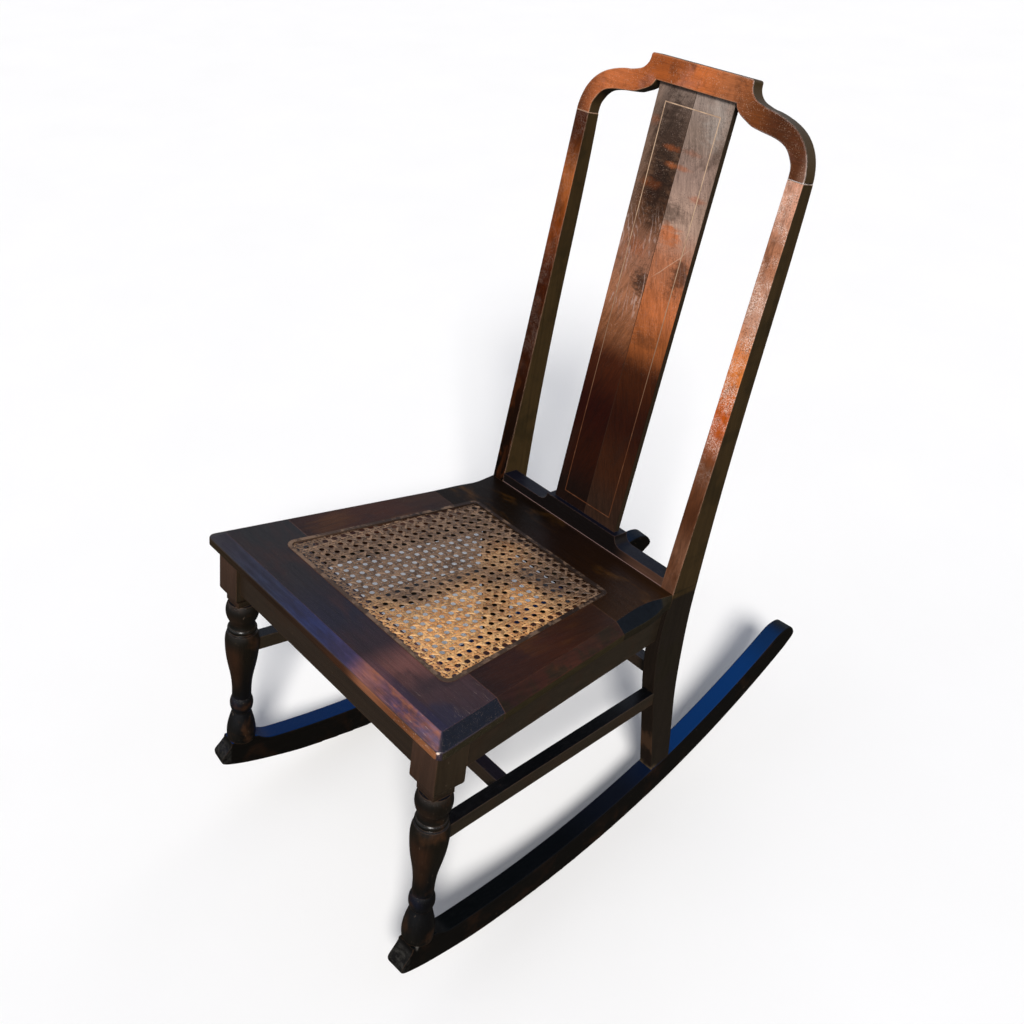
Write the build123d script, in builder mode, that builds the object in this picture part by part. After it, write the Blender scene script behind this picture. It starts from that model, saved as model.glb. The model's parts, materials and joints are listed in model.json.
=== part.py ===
"""Armless rocking chair with a caned seat and a splat back, in millimetres.

The pieces are drawn in the chair's own frame: x towards the sitter's left, y to the back from the
axes of the front legs, z up from the feet of the front legs, with the seat square to the legs.
That frame leans back by LEAN, the angle at which the empty chair balances on its rockers.
The model's origin is on the floor, at the middle of the chair's length and width.
"""
from build123d import *
from math import cos, radians, sin, sqrt, tan
import os

os.makedirs("parts", exist_ok=True)

SIDES = {"left": 1, "right": -1}

# How the chair stands: its lean, and the chair frame's origin ahead of the middle of its length.
LEAN = 9.97
ORIGIN_Y = -326.43

# Rockers: a long bottom arc, a flatter top arc, and a toe-in towards the rear. The right one toes in
# more than the left one.
ROCKER_RADIUS = 990
ROCKER_CENTRE_Y = 125
ROCKER_CENTRE_Z = 938.5
ROCKER_TOP_RADIUS = 1046
ROCKER_TOP_CENTRE_Y = 94
ROCKER_TOP_CENTRE_Z = 1034
ROCKER_THICKNESS = 24
ROCKER_FRONT_X = 191.4
ROCKER_TOE_IN = {"left": 3.87, "right": 5.1}
ROCKER_PAD_FRONT_Y = -17
ROCKER_PAD_REAR_Y = 15
ROCKER_EDGE_RADIUS = 2
LONG_ROCKER_EDGE = 100

# Front legs: a square block, a neck, and a turning that ends in a tenon in the rocker.
LEG_X = 190
BLOCK_HALF = 19.5
BLOCK_BOTTOM = 229
NECK_HALF = 13.5
NECK_TOP = 219
TURNING_TOP = 212
LEG_TENON_RADIUS = 8
LEG_TENON_DEPTH = 24

# Seat: four bevelled boards around a caned opening.
SEAT_TOP = 304.5
BOARD_THICKNESS = 20
BEVEL_DROP = 9
BEVEL_WIDTH = 15
NOSING_CORNER_RADIUS = 8
BEVEL_CORNER_RADIUS = 3
NOSING_RADIUS = 2.5
SEAT_FRONT_Y = -29.7
SEAT_FRONT_HALF = 220.5
SEAT_TAPER_Y = -15
SEAT_JOINT_HALF = 180.5
SEAT_REAR_Y = 388
FRONT_JOINT_Y = 62.5
REAR_JOINT_Y = 262
CANE_FRONT_Y = 31
CANE_REAR_Y = 295
CANE_FRONT_HALF = 153.5
CANE_REAR_HALF = 121
CANE_FRONT_RADIUS = 12
CANE_REAR_RADIUS = 8
CANE_THICKNESS = 1.4
SPLINE_WIDTH = 5
SPLINE_DEPTH = 6
SPLINE_CROWN = 0.7
LEDGE_WIDTH = 13

# Aprons under the seat.
APRON_BOTTOM = 236.5
APRON_THICKNESS = 19
FRONT_APRON_Y = -14
REAR_APRON_Y = 366
SIDE_APRON_FRONT_X = 202
SIDE_APRON_REAR_X = 157
SIDE_APRON_REAR_Y = 358
SIDE_APRON_TENON_SHIFT = 4

# Back: the posts, and the plane of their front faces above the seat.
POST_WIDTH = 20
POST_OUTER_X = 163.5
POST_FOOT_Y = 400
POST_FRONT_Y = 359.5
POST_TOP_DEPTH = 17.9
POST_EDGE_RADIUS = 1
POST_CLEARANCE = 0.2
POST_FLARE_MIDDLE_Z = 190
POST_FLARE_MIDDLE_SHARE = 0.27
POST_FLARE_FOOT_Z = 10
POST_FLARE_FOOT_SHARE = 1.05
POST_FLARE_SLOPE = 0.0055
POST_BLANK_REAR_Y = 488
LONG_POST_EDGE = 150
BACK_ANGLE = 6.59
CREST_JOINT_Z = 777.3
CREST_THICKNESS = 17.3
CREST_EDGE_RADIUS = 1
CREST_UNDERSIDE = 54.3
CREST_TOP = 80.5
CREST_TABLET_HALF = 68
SHOE_FRONT_Y = 360
SHOE_DEPTH = 21.5
SHOE_TOP = 328.5
SHOE_END_TOP = 316.5
SPLAT_HALF = 53
SPLAT_RECESS = 4.6
SPLAT_THICKNESS = 8
SPLAT_TONGUE = 9
VENEER_THICKNESS = 0.8
STRINGING_HALF = 39
STRINGING_TOP = 36
STRINGING_BOTTOM = -438
STRINGING_WIDTH = 1.1
STRINGING_DEPTH = 0.5

# Stretchers, by their sections and the middles of their ends.
STRETCHER_WIDTH = 16.6
STRETCHER_HEIGHT = 18.8
STRETCHER_EDGE_RADIUS = 0.7
SIDE_STRETCHER_FRONT_X = 188.6
SIDE_STRETCHER_FRONT_Y = 17
SIDE_STRETCHER_FRONT_Z = 146.2
SIDE_STRETCHER_REAR_Y = 365
SIDE_STRETCHER_REAR_Z = 151
MEDIAL_STRETCHER_Y = 111.4
MEDIAL_STRETCHER_Z = 147.6
MEDIAL_STRETCHER_HEIGHT = 17
MEDIAL_STRETCHER_HALF = 175
REAR_STRETCHER_Y = 379
REAR_STRETCHER_Z = 177.8
REAR_STRETCHER_HEIGHT = 15.5
REAR_STRETCHER_FLARE_SHARE = 1 / 3
STRETCHER_HOUSING = 3

# Tenons and dowels.
TENON_THICKNESS = 9
TENON_LENGTH = 12
DOWEL_RADIUS = 4
DOWEL_LENGTH = 36
REAR_DOWEL_RADIUS = 5
REAR_DOWEL_BOTTOM = 6
REAR_DOWEL_LENGTH = 60
SEAT_DOWEL_RISE = 8
FRONT_DOWEL_X = (152, 186)
REAR_DOWEL_X = (127, 158)

# Points that the seat's outline passes on its way in to the posts, at its nosing and above its bevel.
NOSING_WAIST = [(177.2, 295), (171.5, 330), (165.5, 361)]
BEVEL_WAIST = [(159.5, 300), (158.5, 318), (160.5, 340), (POST_OUTER_X, 361)]

# Sizes that follow from the ones above.
BOARD_BOTTOM = SEAT_TOP - BOARD_THICKNESS
NOSING_TOP = SEAT_TOP - BEVEL_DROP
SEAT_TAPER = (SEAT_FRONT_HALF - SEAT_JOINT_HALF) / (REAR_JOINT_Y - SEAT_TAPER_Y)
APRON_HEIGHT = BOARD_BOTTOM - APRON_BOTTOM
APRON_MIDDLE = BOARD_BOTTOM - APRON_HEIGHT / 2
POST_INNER_X = POST_OUTER_X - POST_WIDTH
BACK_SLOPE = tan(radians(BACK_ANGLE))
CREST_JOINT_Y = POST_FRONT_Y + (CREST_JOINT_Z - SEAT_TOP) * BACK_SLOPE
SHOE_TOP_UP_BACK = (SHOE_TOP - CREST_JOINT_Z) / cos(radians(BACK_ANGLE))
FRONT_APRON_MIDDLE_Y = FRONT_APRON_Y + APRON_THICKNESS / 2
REAR_APRON_MIDDLE_Y = REAR_APRON_Y + APRON_THICKNESS / 2
TENON_HEIGHT = APRON_HEIGHT - TENON_LENGTH
CREST_DOWEL_X = POST_OUTER_X - POST_WIDTH / 2
SEAT_DOWEL_Z = BOARD_BOTTOM + SEAT_DOWEL_RISE
SPLAT_TOP = CREST_UNDERSIDE + SPLAT_TONGUE
SPLAT_BOTTOM = SHOE_TOP_UP_BACK - SPLAT_TONGUE
SPLAT_MIDDLE = (SPLAT_TOP + SPLAT_BOTTOM) / 2
STRINGING_MIDDLE = (STRINGING_TOP + STRINGING_BOTTOM) / 2
STRINGING_HEIGHT = STRINGING_TOP - STRINGING_BOTTOM
SEAT_BLANK_HALF = SEAT_FRONT_HALF + 10
SEAT_BLANK_FRONT_Y = SEAT_FRONT_Y - 10
SEAT_BLANK_REAR_Y = SEAT_REAR_Y + 10

ORIGIN_Z = ROCKER_RADIUS - ROCKER_CENTRE_Z * cos(radians(LEAN)) + ROCKER_CENTRE_Y * sin(radians(LEAN))

CHAIR = Plane(
    origin=(0, ORIGIN_Y, ORIGIN_Z),
    x_dir=(1, 0, 0),
    z_dir=(0, sin(radians(LEAN)), cos(radians(LEAN))),
)


def point(x, y, z):
    """A point of the chair's frame."""
    return CHAIR.from_local_coords((x, y, z))


def level(z):
    """The plane parallel to the seat at height z."""
    return CHAIR.offset(z)


def side_view(x):
    """The upright plane at x, drawn with y across and z up."""
    return Plane(point(x, 0, 0), x_dir=CHAIR.y_dir, z_dir=CHAIR.x_dir)


def front_view(y):
    """The upright plane at y, drawn with x across and z up, that faces the front."""
    return Plane(point(0, y, 0), x_dir=CHAIR.x_dir, z_dir=-CHAIR.y_dir)


def rocker_view(side):
    """The middle plane of one rocker, drawn with its length across and z up."""
    sign = SIDES[side]
    turn = radians(ROCKER_TOE_IN[side])
    along = CHAIR.y_dir * cos(turn) - CHAIR.x_dir * sign * sin(turn)
    out = CHAIR.x_dir * cos(turn) + CHAIR.y_dir * sign * sin(turn)
    return Plane(point(sign * ROCKER_FRONT_X, 0, 0), x_dir=along, z_dir=out)


def rocker_distance(side, y):
    """How far the middle of a rocker is from the middle of the chair."""
    return ROCKER_FRONT_X - y * tan(radians(ROCKER_TOE_IN[side]))


def post_flare(side):
    """How far a rear leg spreads out below the seat, to stand flush with its rocker."""
    return rocker_distance(side, POST_FOOT_Y) + ROCKER_THICKNESS / 2 - POST_OUTER_X


def back_view(depth):
    """The plane of the back, depth behind the posts' faces, drawn up from the crest rail's joint."""
    lean = radians(BACK_ANGLE)
    towards_front = CHAIR.z_dir * sin(lean) - CHAIR.y_dir * cos(lean)
    joint = point(0, CREST_JOINT_Y, CREST_JOINT_Z)
    return Plane(joint - towards_front * depth, x_dir=CHAIR.x_dir, z_dir=towards_front)


def arc_height(y, centre_y, centre_z, radius):
    """The height of an arc that hangs below its centre."""
    return centre_z - sqrt(radius**2 - (y - centre_y) ** 2)


def bottom_arc(y):
    return (y, arc_height(y, ROCKER_CENTRE_Y, ROCKER_CENTRE_Z, ROCKER_RADIUS))


def top_arc(y):
    return (y, arc_height(y, ROCKER_TOP_CENTRE_Y, ROCKER_TOP_CENTRE_Z, ROCKER_TOP_RADIUS))


def rocker_outline():
    """The side view of a rocker, drawn from the front leg's pad along the top and back below."""
    pad_front = (ROCKER_PAD_FRONT_Y, 0)
    pad_rear = (ROCKER_PAD_REAR_Y, 0)
    nose = (-30, -29)
    with BuildSketch(mode=Mode.PRIVATE) as outline:
        with BuildLine():
            Line(pad_front, pad_rear)
            Spline(pad_rear, (22, -3.2), (31, -8.3), top_arc(48), tangents=((1, -0.05), (1, -0.044)))
            ThreePointArc(top_arc(48), top_arc(340), top_arc(630))
            Spline(top_arc(630), (646, 141.2), (662, 140.6), (677, 128.5), tangents=((1, 0.6), (0.62, -1)))
            ThreePointArc((677, 128.5), (676.6, 123.6), (673, 118.6))
            Line((673, 118.6), bottom_arc(652))
            ThreePointArc(bottom_arc(652), bottom_arc(370), bottom_arc(90))
            Spline(
                bottom_arc(90), (40, -46.2), (0, -39.8), (-20, -34.6), nose,
                tangents=((-1, 0.035), (-0.6, 1)),
            )
            Spline(nose, (-30.6, -23), (-24, -13.5), (-18.6, -7), pad_front, tangents=((0, 1), (0.1, 1)))
        make_face()
    return outline.sketch


def cane_outline(inset):
    """The outline of the caned opening, inset from the outside of the spline's groove."""
    with BuildSketch(mode=Mode.PRIVATE) as outline:
        with BuildLine():
            Polyline(
                (CANE_FRONT_HALF, CANE_FRONT_Y),
                (CANE_REAR_HALF, CANE_REAR_Y),
                (-CANE_REAR_HALF, CANE_REAR_Y),
                (-CANE_FRONT_HALF, CANE_FRONT_Y),
                close=True,
            )
        make_face()
        corners = outline.vertices().sort_by(Axis.Y)
        fillet(corners[:2], CANE_FRONT_RADIUS)
        fillet(outline.vertices().sort_by(Axis.Y)[-2:], CANE_REAR_RADIUS)
        if inset:
            offset(amount=-inset)
    return outline.sketch


def seat_edge(inset, corner_radius, waist):
    """The seat's plan: the front and tapered sides, inset, then the run in to the rear posts."""
    front = SEAT_FRONT_Y + inset
    corner_x = SEAT_FRONT_HALF - inset * sqrt(1 + SEAT_TAPER**2) - (front - SEAT_TAPER_Y) * SEAT_TAPER
    joint_x = corner_x - (REAR_JOINT_Y - front) * SEAT_TAPER
    with BuildSketch(mode=Mode.PRIVATE) as plan:
        with BuildLine() as half:
            Polyline((0, front), (corner_x, front), (joint_x, REAR_JOINT_Y))
            corner = half.vertices().sort_by_distance((corner_x, front))[0]
            fillet(corner, corner_radius)
            Spline((joint_x, REAR_JOINT_Y), *waist, tangents=((-SEAT_TAPER, 1), (0.15, 1)))
            Polyline(waist[-1], (waist[-1][0], SEAT_REAR_Y), (0, SEAT_REAR_Y))
            mirror(about=Plane.YZ)
        make_face()
    return plan.sketch


# ---------------------------------------------------------------- stretchers

with BuildPart() as medial_stretcher:
    with BuildSketch(side_view(0)):
        with Locations((MEDIAL_STRETCHER_Y, MEDIAL_STRETCHER_Z)):
            RectangleRounded(STRETCHER_WIDTH, MEDIAL_STRETCHER_HEIGHT, STRETCHER_EDGE_RADIUS)
    extrude(amount=MEDIAL_STRETCHER_HALF, both=True)

with BuildSketch(side_view(0)) as stretcher_section:
    with Locations((REAR_STRETCHER_Y, REAR_STRETCHER_Z)):
        RectangleRounded(STRETCHER_WIDTH, REAR_STRETCHER_HEIGHT, STRETCHER_EDGE_RADIUS)

with BuildSketch(side_view(0)) as tenon_section:
    with Locations((REAR_STRETCHER_Y, REAR_STRETCHER_Z)):
        Rectangle(TENON_THICKNESS, TENON_THICKNESS)

with BuildPart() as rear_stretcher:
    for side, sign in SIDES.items():
        reach = POST_INNER_X + post_flare(side) * REAR_STRETCHER_FLARE_SHARE + STRETCHER_HOUSING
        extrude(stretcher_section.sketch, amount=sign * reach)
        extrude(tenon_section.sketch, amount=sign * (reach + TENON_LENGTH))


def side_stretcher(side, sign):
    """A stretcher from the turned part of a front leg to the rear leg behind it."""
    leg_middle = POST_OUTER_X - POST_WIDTH / 2 + post_flare(side) / 2
    front = (sign * SIDE_STRETCHER_FRONT_X, SIDE_STRETCHER_FRONT_Z)
    rear = (sign * leg_middle, SIDE_STRETCHER_REAR_Z)
    with BuildPart() as stretcher:
        for y, middle in ((SIDE_STRETCHER_FRONT_Y, front), (SIDE_STRETCHER_REAR_Y, rear)):
            with BuildSketch(front_view(y)):
                with Locations(middle):
                    RectangleRounded(STRETCHER_WIDTH, STRETCHER_HEIGHT, STRETCHER_EDGE_RADIUS)
        loft(ruled=True)
        for y, middle, way in ((SIDE_STRETCHER_FRONT_Y, front, 1), (SIDE_STRETCHER_REAR_Y, rear, -1)):
            with BuildSketch(front_view(y)):
                with Locations(middle):
                    Rectangle(TENON_THICKNESS, TENON_THICKNESS)
            extrude(amount=way * TENON_LENGTH)
        add(medial_stretcher.part, mode=Mode.SUBTRACT)
    return stretcher


side_stretchers = {side: side_stretcher(side, sign) for side, sign in SIDES.items()}

# ---------------------------------------------------------------- aprons


def cross_apron(middle_y, half_length):
    """An apron that runs across the chair, with a tenon at each end."""
    with BuildPart() as apron:
        with BuildSketch(side_view(0)):
            with Locations((middle_y, APRON_MIDDLE)):
                Rectangle(APRON_THICKNESS, APRON_HEIGHT)
        extrude(amount=half_length, both=True)
        with BuildSketch(side_view(0)):
            with Locations((middle_y, APRON_MIDDLE)):
                Rectangle(TENON_THICKNESS, TENON_HEIGHT)
        extrude(amount=half_length + TENON_LENGTH, both=True)
    return apron


def side_apron(sign):
    """An apron from a front leg's block to the rear post, which follows the seat's taper."""
    front = sign * (SIDE_APRON_FRONT_X - APRON_THICKNESS / 2)
    rear = sign * (SIDE_APRON_REAR_X - APRON_THICKNESS / 2)
    rear_tenon = rear + sign * SIDE_APRON_TENON_SHIFT
    with BuildPart() as apron:
        for y, x in ((BLOCK_HALF, front), (SIDE_APRON_REAR_Y, rear)):
            with BuildSketch(front_view(y)):
                with Locations((x, APRON_MIDDLE)):
                    Rectangle(APRON_THICKNESS, APRON_HEIGHT)
        loft(ruled=True)
        for y, x, way in ((BLOCK_HALF, front, 1), (SIDE_APRON_REAR_Y, rear_tenon, -1)):
            with BuildSketch(front_view(y)):
                with Locations((x, APRON_MIDDLE)):
                    Rectangle(TENON_THICKNESS, TENON_HEIGHT)
            extrude(amount=way * TENON_LENGTH)
    return apron


front_apron = cross_apron(FRONT_APRON_MIDDLE_Y, LEG_X - BLOCK_HALF)
rear_apron = cross_apron(REAR_APRON_MIDDLE_Y, POST_INNER_X)
side_aprons = {side: side_apron(sign) for side, sign in SIDES.items()}

# ---------------------------------------------------------------- dowels

REAR_FEET = [(sign * rocker_distance(side, POST_FOOT_Y), POST_FOOT_Y) for side, sign in SIDES.items()]

with BuildPart() as rear_leg_dowels:
    with BuildSketch(level(REAR_DOWEL_BOTTOM)):
        with Locations(REAR_FEET):
            Circle(REAR_DOWEL_RADIUS)
    extrude(amount=REAR_DOWEL_LENGTH)

JOINT_PLANE = Plane(
    back_view(POST_TOP_DEPTH / 2).origin, x_dir=CHAIR.x_dir, z_dir=back_view(0).y_dir
)

with BuildPart() as crest_dowels:
    with BuildSketch(JOINT_PLANE):
        with Locations((CREST_DOWEL_X, 0), (-CREST_DOWEL_X, 0)):
            Circle(DOWEL_RADIUS)
    extrude(amount=DOWEL_LENGTH / 2, both=True)

with BuildPart() as seat_board_dowels:
    for joint_y, row in ((FRONT_JOINT_Y, FRONT_DOWEL_X), (REAR_JOINT_Y, REAR_DOWEL_X)):
        with BuildSketch(front_view(joint_y)):
            with Locations([(sign * x, SEAT_DOWEL_Z) for sign in SIDES.values() for x in row]):
                Circle(DOWEL_RADIUS)
        extrude(amount=DOWEL_LENGTH / 2, both=True)

# ---------------------------------------------------------------- front legs


def leg_block_outline(x):
    """One side view of a front leg's block, with the coved shoulders down to its square neck."""
    with BuildSketch(mode=Mode.PRIVATE) as outline:
        with BuildLine():
            for side in SIDES.values():
                Line((x, BOARD_BOTTOM), (x + side * BLOCK_HALF, BOARD_BOTTOM))
                Line((x + side * BLOCK_HALF, BOARD_BOTTOM), (x + side * BLOCK_HALF, BLOCK_BOTTOM))
                Spline(
                    (x + side * BLOCK_HALF, BLOCK_BOTTOM),
                    (x + side * (BLOCK_HALF - 2.2), BLOCK_BOTTOM - 5),
                    (x + side * NECK_HALF, NECK_TOP),
                    tangents=((0, -1), (-side * 0.6, -1)),
                )
                Line((x + side * NECK_HALF, NECK_TOP), (x + side * NECK_HALF, TURNING_TOP))
                Line((x + side * NECK_HALF, TURNING_TOP), (x, TURNING_TOP))
        make_face()
    return outline.sketch


def turning_outline(x):
    """Half of the turned part of a front leg, from its tenon in the rocker up to its neck."""
    with BuildSketch(mode=Mode.PRIVATE) as outline:
        with BuildLine():
            Polyline(
                (x, TURNING_TOP),
                (x, -LEG_TENON_DEPTH),
                (x + LEG_TENON_RADIUS, -LEG_TENON_DEPTH),
                (x + LEG_TENON_RADIUS, 0),
                (x + 17.5, 0),
            )
            Spline((x + 17.5, 0), (x + 18.3, 12), (x + 17.2, 22), (x + 12.2, 43))
            Line((x + 12.2, 43), (x + 12, 45))
            ThreePointArc((x + 12, 45), (x + 14.6, 56), (x + 12, 67))
            Line((x + 12, 67), (x + 12, 70))
            Spline(
                (x + 12, 70), (x + 12.3, 85), (x + 13.6, 98),
                (x + 19, 128), (x + 20.8, 148), (x + 18.6, 168),
                tangents=((0, 1), (-0.35, 1)),
            )
            Line((x + 18.6, 168), (x + 16.4, 169.5))
            ThreePointArc((x + 16.4, 169.5), (x + 18, 173), (x + 16.2, 176.5))
            Spline((x + 16.2, 176.5), (x + 15.4, 181), (x + 17, 187), tangents=((-0.3, 1), (0.7, 1)))
            ThreePointArc((x + 17, 187), (x + 20, 198.5), (x + 17, TURNING_TOP))
            Line((x + 17, TURNING_TOP), (x, TURNING_TOP))
        make_face()
    return outline.sketch


def front_leg(side, sign):
    """A front leg: the block under the seat, the turning, and the mortises in both."""
    x = sign * LEG_X
    with BuildPart() as leg:
        with BuildSketch(front_view(0)):
            add(leg_block_outline(x))
        extrude(amount=BLOCK_HALF, both=True)
        with BuildSketch(side_view(x)):
            add(leg_block_outline(0))
        extrude(amount=BLOCK_HALF, both=True, mode=Mode.INTERSECT)
        with BuildSketch(front_view(0)):
            add(turning_outline(x))
        revolve(axis=Axis(point(x, 0, 0), CHAIR.z_dir))
        add(side_stretchers[side].part, mode=Mode.SUBTRACT)
        add(front_apron.part, mode=Mode.SUBTRACT)
        add(side_aprons[side].part, mode=Mode.SUBTRACT)
    return leg


front_legs = {side: front_leg(side, sign) for side, sign in SIDES.items()}

# ---------------------------------------------------------------- rockers


def rocker(side):
    """A rocker, bored for its front leg's tenon and its rear leg's dowel."""
    with BuildPart() as runner:
        with BuildSketch(rocker_view(side)):
            add(rocker_outline())
        extrude(amount=ROCKER_THICKNESS / 2, both=True)
        long_edges = runner.edges().filter_by(lambda edge: edge.length > LONG_ROCKER_EDGE)
        fillet(long_edges, ROCKER_EDGE_RADIUS)
        add(front_legs[side].part, mode=Mode.SUBTRACT)
        add(rear_leg_dowels.part, mode=Mode.SUBTRACT)
    return runner


rockers = {side: rocker(side) for side in SIDES}

# ---------------------------------------------------------------- rear posts


def post_profile():
    """The side view of a rear post: straight above the seat, swept back to the rocker below."""
    top_front = (CREST_JOINT_Y, CREST_JOINT_Z)
    lean = radians(BACK_ANGLE)
    top_rear = (CREST_JOINT_Y + POST_TOP_DEPTH * cos(lean), CREST_JOINT_Z - POST_TOP_DEPTH * sin(lean))
    seat_front = (POST_FRONT_Y, SEAT_TOP)
    foot_front = (386, 18)
    foot_rear = (417.5, 18)
    with BuildSketch(mode=Mode.PRIVATE) as profile:
        with BuildLine():
            Line(top_front, seat_front)
            Spline(
                seat_front, (354, 240), (355, 200), (360.3, 160), (368.3, 118), foot_front,
                tangents=((-BACK_SLOPE, -1), (0.17, -1)),
            )
            Line(foot_front, foot_rear)
            Spline(
                foot_rear, (409.5, 98), (403.8, 147), (401.7, 211), (402.5, 300),
                (406.5, 419), (416.5, 567), (427.5, 699), top_rear,
            )
            Line(top_rear, top_front)
        make_face()
    return profile.sketch


def post_front_view(side, sign):
    """The front view of a rear post: upright above the seat, flared out to the rocker below."""
    spread = post_flare(side)
    top = (POST_OUTER_X, CREST_JOINT_Z + 20)
    flare_start = (POST_OUTER_X, BOARD_BOTTOM)
    flare = (POST_OUTER_X + spread * POST_FLARE_MIDDLE_SHARE, POST_FLARE_MIDDLE_Z)
    foot = (POST_OUTER_X + spread * POST_FLARE_FOOT_SHARE, POST_FLARE_FOOT_Z)
    with BuildSketch(mode=Mode.PRIVATE) as band:
        with BuildLine():
            for shift in (0, -POST_WIDTH):
                outer = [(sign * (x + shift), z) for x, z in (top, flare_start, flare, foot)]
                Line(outer[0], outer[1])
                Spline(outer[1:], tangents=((0, -1), (sign * spread * POST_FLARE_SLOPE, -1)))
            Line((sign * top[0], top[1]), (sign * (top[0] - POST_WIDTH), top[1]))
            Line((sign * foot[0], foot[1]), (sign * (foot[0] - POST_WIDTH), foot[1]))
        make_face()
    return band.sketch


def rear_post(side, sign):
    """A rear leg and back post in one piece, scribed to the rocker and mortised for its neighbours."""
    with BuildPart() as post:
        with BuildSketch(side_view(0)):
            add(post_profile())
        extrude(amount=sign * SEAT_FRONT_HALF)
        with BuildSketch(front_view(0)):
            add(post_front_view(side, sign))
        extrude(amount=-POST_BLANK_REAR_Y, mode=Mode.INTERSECT)
        with BuildSketch(rocker_view(side)):
            add(rocker_outline())
        extrude(amount=POST_WIDTH * 2, both=True, mode=Mode.SUBTRACT)
        long_edges = post.edges().filter_by(lambda edge: edge.length > LONG_POST_EDGE)
        fillet(long_edges, POST_EDGE_RADIUS)
        add(side_stretchers[side].part, mode=Mode.SUBTRACT)
        add(rear_stretcher.part, mode=Mode.SUBTRACT)
        add(side_aprons[side].part, mode=Mode.SUBTRACT)
        add(rear_apron.part, mode=Mode.SUBTRACT)
        add(rear_leg_dowels.part, mode=Mode.SUBTRACT)
        add(crest_dowels.part, mode=Mode.SUBTRACT)
    return post


rear_posts = {side: rear_post(side, sign) for side, sign in SIDES.items()}

# ---------------------------------------------------------------- splat

with BuildPart() as splat:
    with BuildSketch(back_view(SPLAT_RECESS + VENEER_THICKNESS)):
        with Locations((0, SPLAT_MIDDLE)):
            Rectangle(2 * SPLAT_HALF, SPLAT_TOP - SPLAT_BOTTOM)
    extrude(amount=VENEER_THICKNESS - SPLAT_THICKNESS)

with BuildPart() as splat_stringing:
    with BuildSketch(back_view(SPLAT_RECESS)):
        with Locations((0, STRINGING_MIDDLE)):
            Rectangle(2 * STRINGING_HALF + STRINGING_WIDTH, STRINGING_HEIGHT + STRINGING_WIDTH)
            Rectangle(
                2 * STRINGING_HALF - STRINGING_WIDTH, STRINGING_HEIGHT - STRINGING_WIDTH, mode=Mode.SUBTRACT
            )
    extrude(amount=-STRINGING_DEPTH)


def splat_veneer(sign):
    """One of the two book-matched veneers, let in for the stringing."""
    with BuildPart() as veneer:
        with BuildSketch(back_view(SPLAT_RECESS)):
            with Locations((sign * SPLAT_HALF / 2, SPLAT_MIDDLE)):
                Rectangle(SPLAT_HALF, SPLAT_TOP - SPLAT_BOTTOM)
        extrude(amount=-VENEER_THICKNESS)
        add(splat_stringing.part, mode=Mode.SUBTRACT)
    return veneer


splat_veneers = {side: splat_veneer(sign) for side, sign in SIDES.items()}

# ---------------------------------------------------------------- shoe and crest rail


def is_crest_contour(edge):
    """Whether an edge follows the crest rail's outline on its front or back face."""
    middle = back_view(CREST_THICKNESS / 2).to_local_coords(edge.center())
    return middle.Y > 1 and abs(middle.Z) > CREST_THICKNESS / 2 - 0.1


with BuildPart() as shoe_rail:
    with BuildSketch(front_view(SHOE_FRONT_Y)):
        with BuildLine():
            Line((0, SEAT_TOP), (POST_INNER_X, SEAT_TOP))
            Line((POST_INNER_X, SEAT_TOP), (POST_INNER_X, SHOE_END_TOP))
            Line((POST_INNER_X, SHOE_END_TOP), (74, SHOE_END_TOP))
            Spline((74, SHOE_END_TOP), (65, 319.3), (60.5, SHOE_TOP), tangents=((-1, 0), (-0.1, 1)))
            Line((60.5, SHOE_TOP), (0, SHOE_TOP))
            mirror(about=Plane.YZ)
        make_face()
    extrude(amount=-SHOE_DEPTH)

    add(splat.part, mode=Mode.SUBTRACT)
    for veneer in splat_veneers.values():
        add(veneer.part, mode=Mode.SUBTRACT)

with BuildPart() as crest_rail:
    with BuildSketch(back_view(0)):
        with BuildLine():
            Spline(
                (POST_OUTER_X, 0), (162, 12), (156.5, 27), (145, 41), (125, 52), (102, 57.5), (84, 61),
                tangents=((0, 1), (-1, 0.3)),
            )
            tablet_side = (CREST_TABLET_HALF + 3, CREST_TOP - 3)
            Spline((84, 61), (75.5, 66), tablet_side, tangents=((-1, 0.3), (0, 1)))
            RadiusArc(tablet_side, (CREST_TABLET_HALF, CREST_TOP), -3)
            Line((CREST_TABLET_HALF, CREST_TOP), (0, CREST_TOP))
            Line((0, CREST_UNDERSIDE), (57, CREST_UNDERSIDE))
            Spline((57, CREST_UNDERSIDE), (63, 46), (75, 40), (105, 34), tangents=((0.3, -1), (1, -0.1)))
            Spline(
                (105, 34), (120, 31.5), (132, 26), (139.5, 17), (POST_INNER_X, 0),
                tangents=((1, -0.1), (0, -1)),
            )
            Line((POST_INNER_X, 0), (POST_OUTER_X, 0))
            mirror(about=Plane.YZ)
        make_face()
    extrude(amount=-CREST_THICKNESS)
    fillet(crest_rail.edges().filter_by(is_crest_contour), CREST_EDGE_RADIUS)
    add(splat.part, mode=Mode.SUBTRACT)
    for veneer in splat_veneers.values():
        add(veneer.part, mode=Mode.SUBTRACT)
    add(crest_dowels.part, mode=Mode.SUBTRACT)

# ---------------------------------------------------------------- seat


def is_nosing(edge):
    """Whether an edge runs along the bottom or the shoulder of the seat's front or sides."""
    middle = CHAIR.to_local_coords(edge.center())
    lengthwise = abs(middle.Z - BOARD_BOTTOM) < 0.1 or abs(middle.Z - NOSING_TOP) < 0.1
    return lengthwise and middle.Y < POST_FRONT_Y - BOARD_THICKNESS


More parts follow.
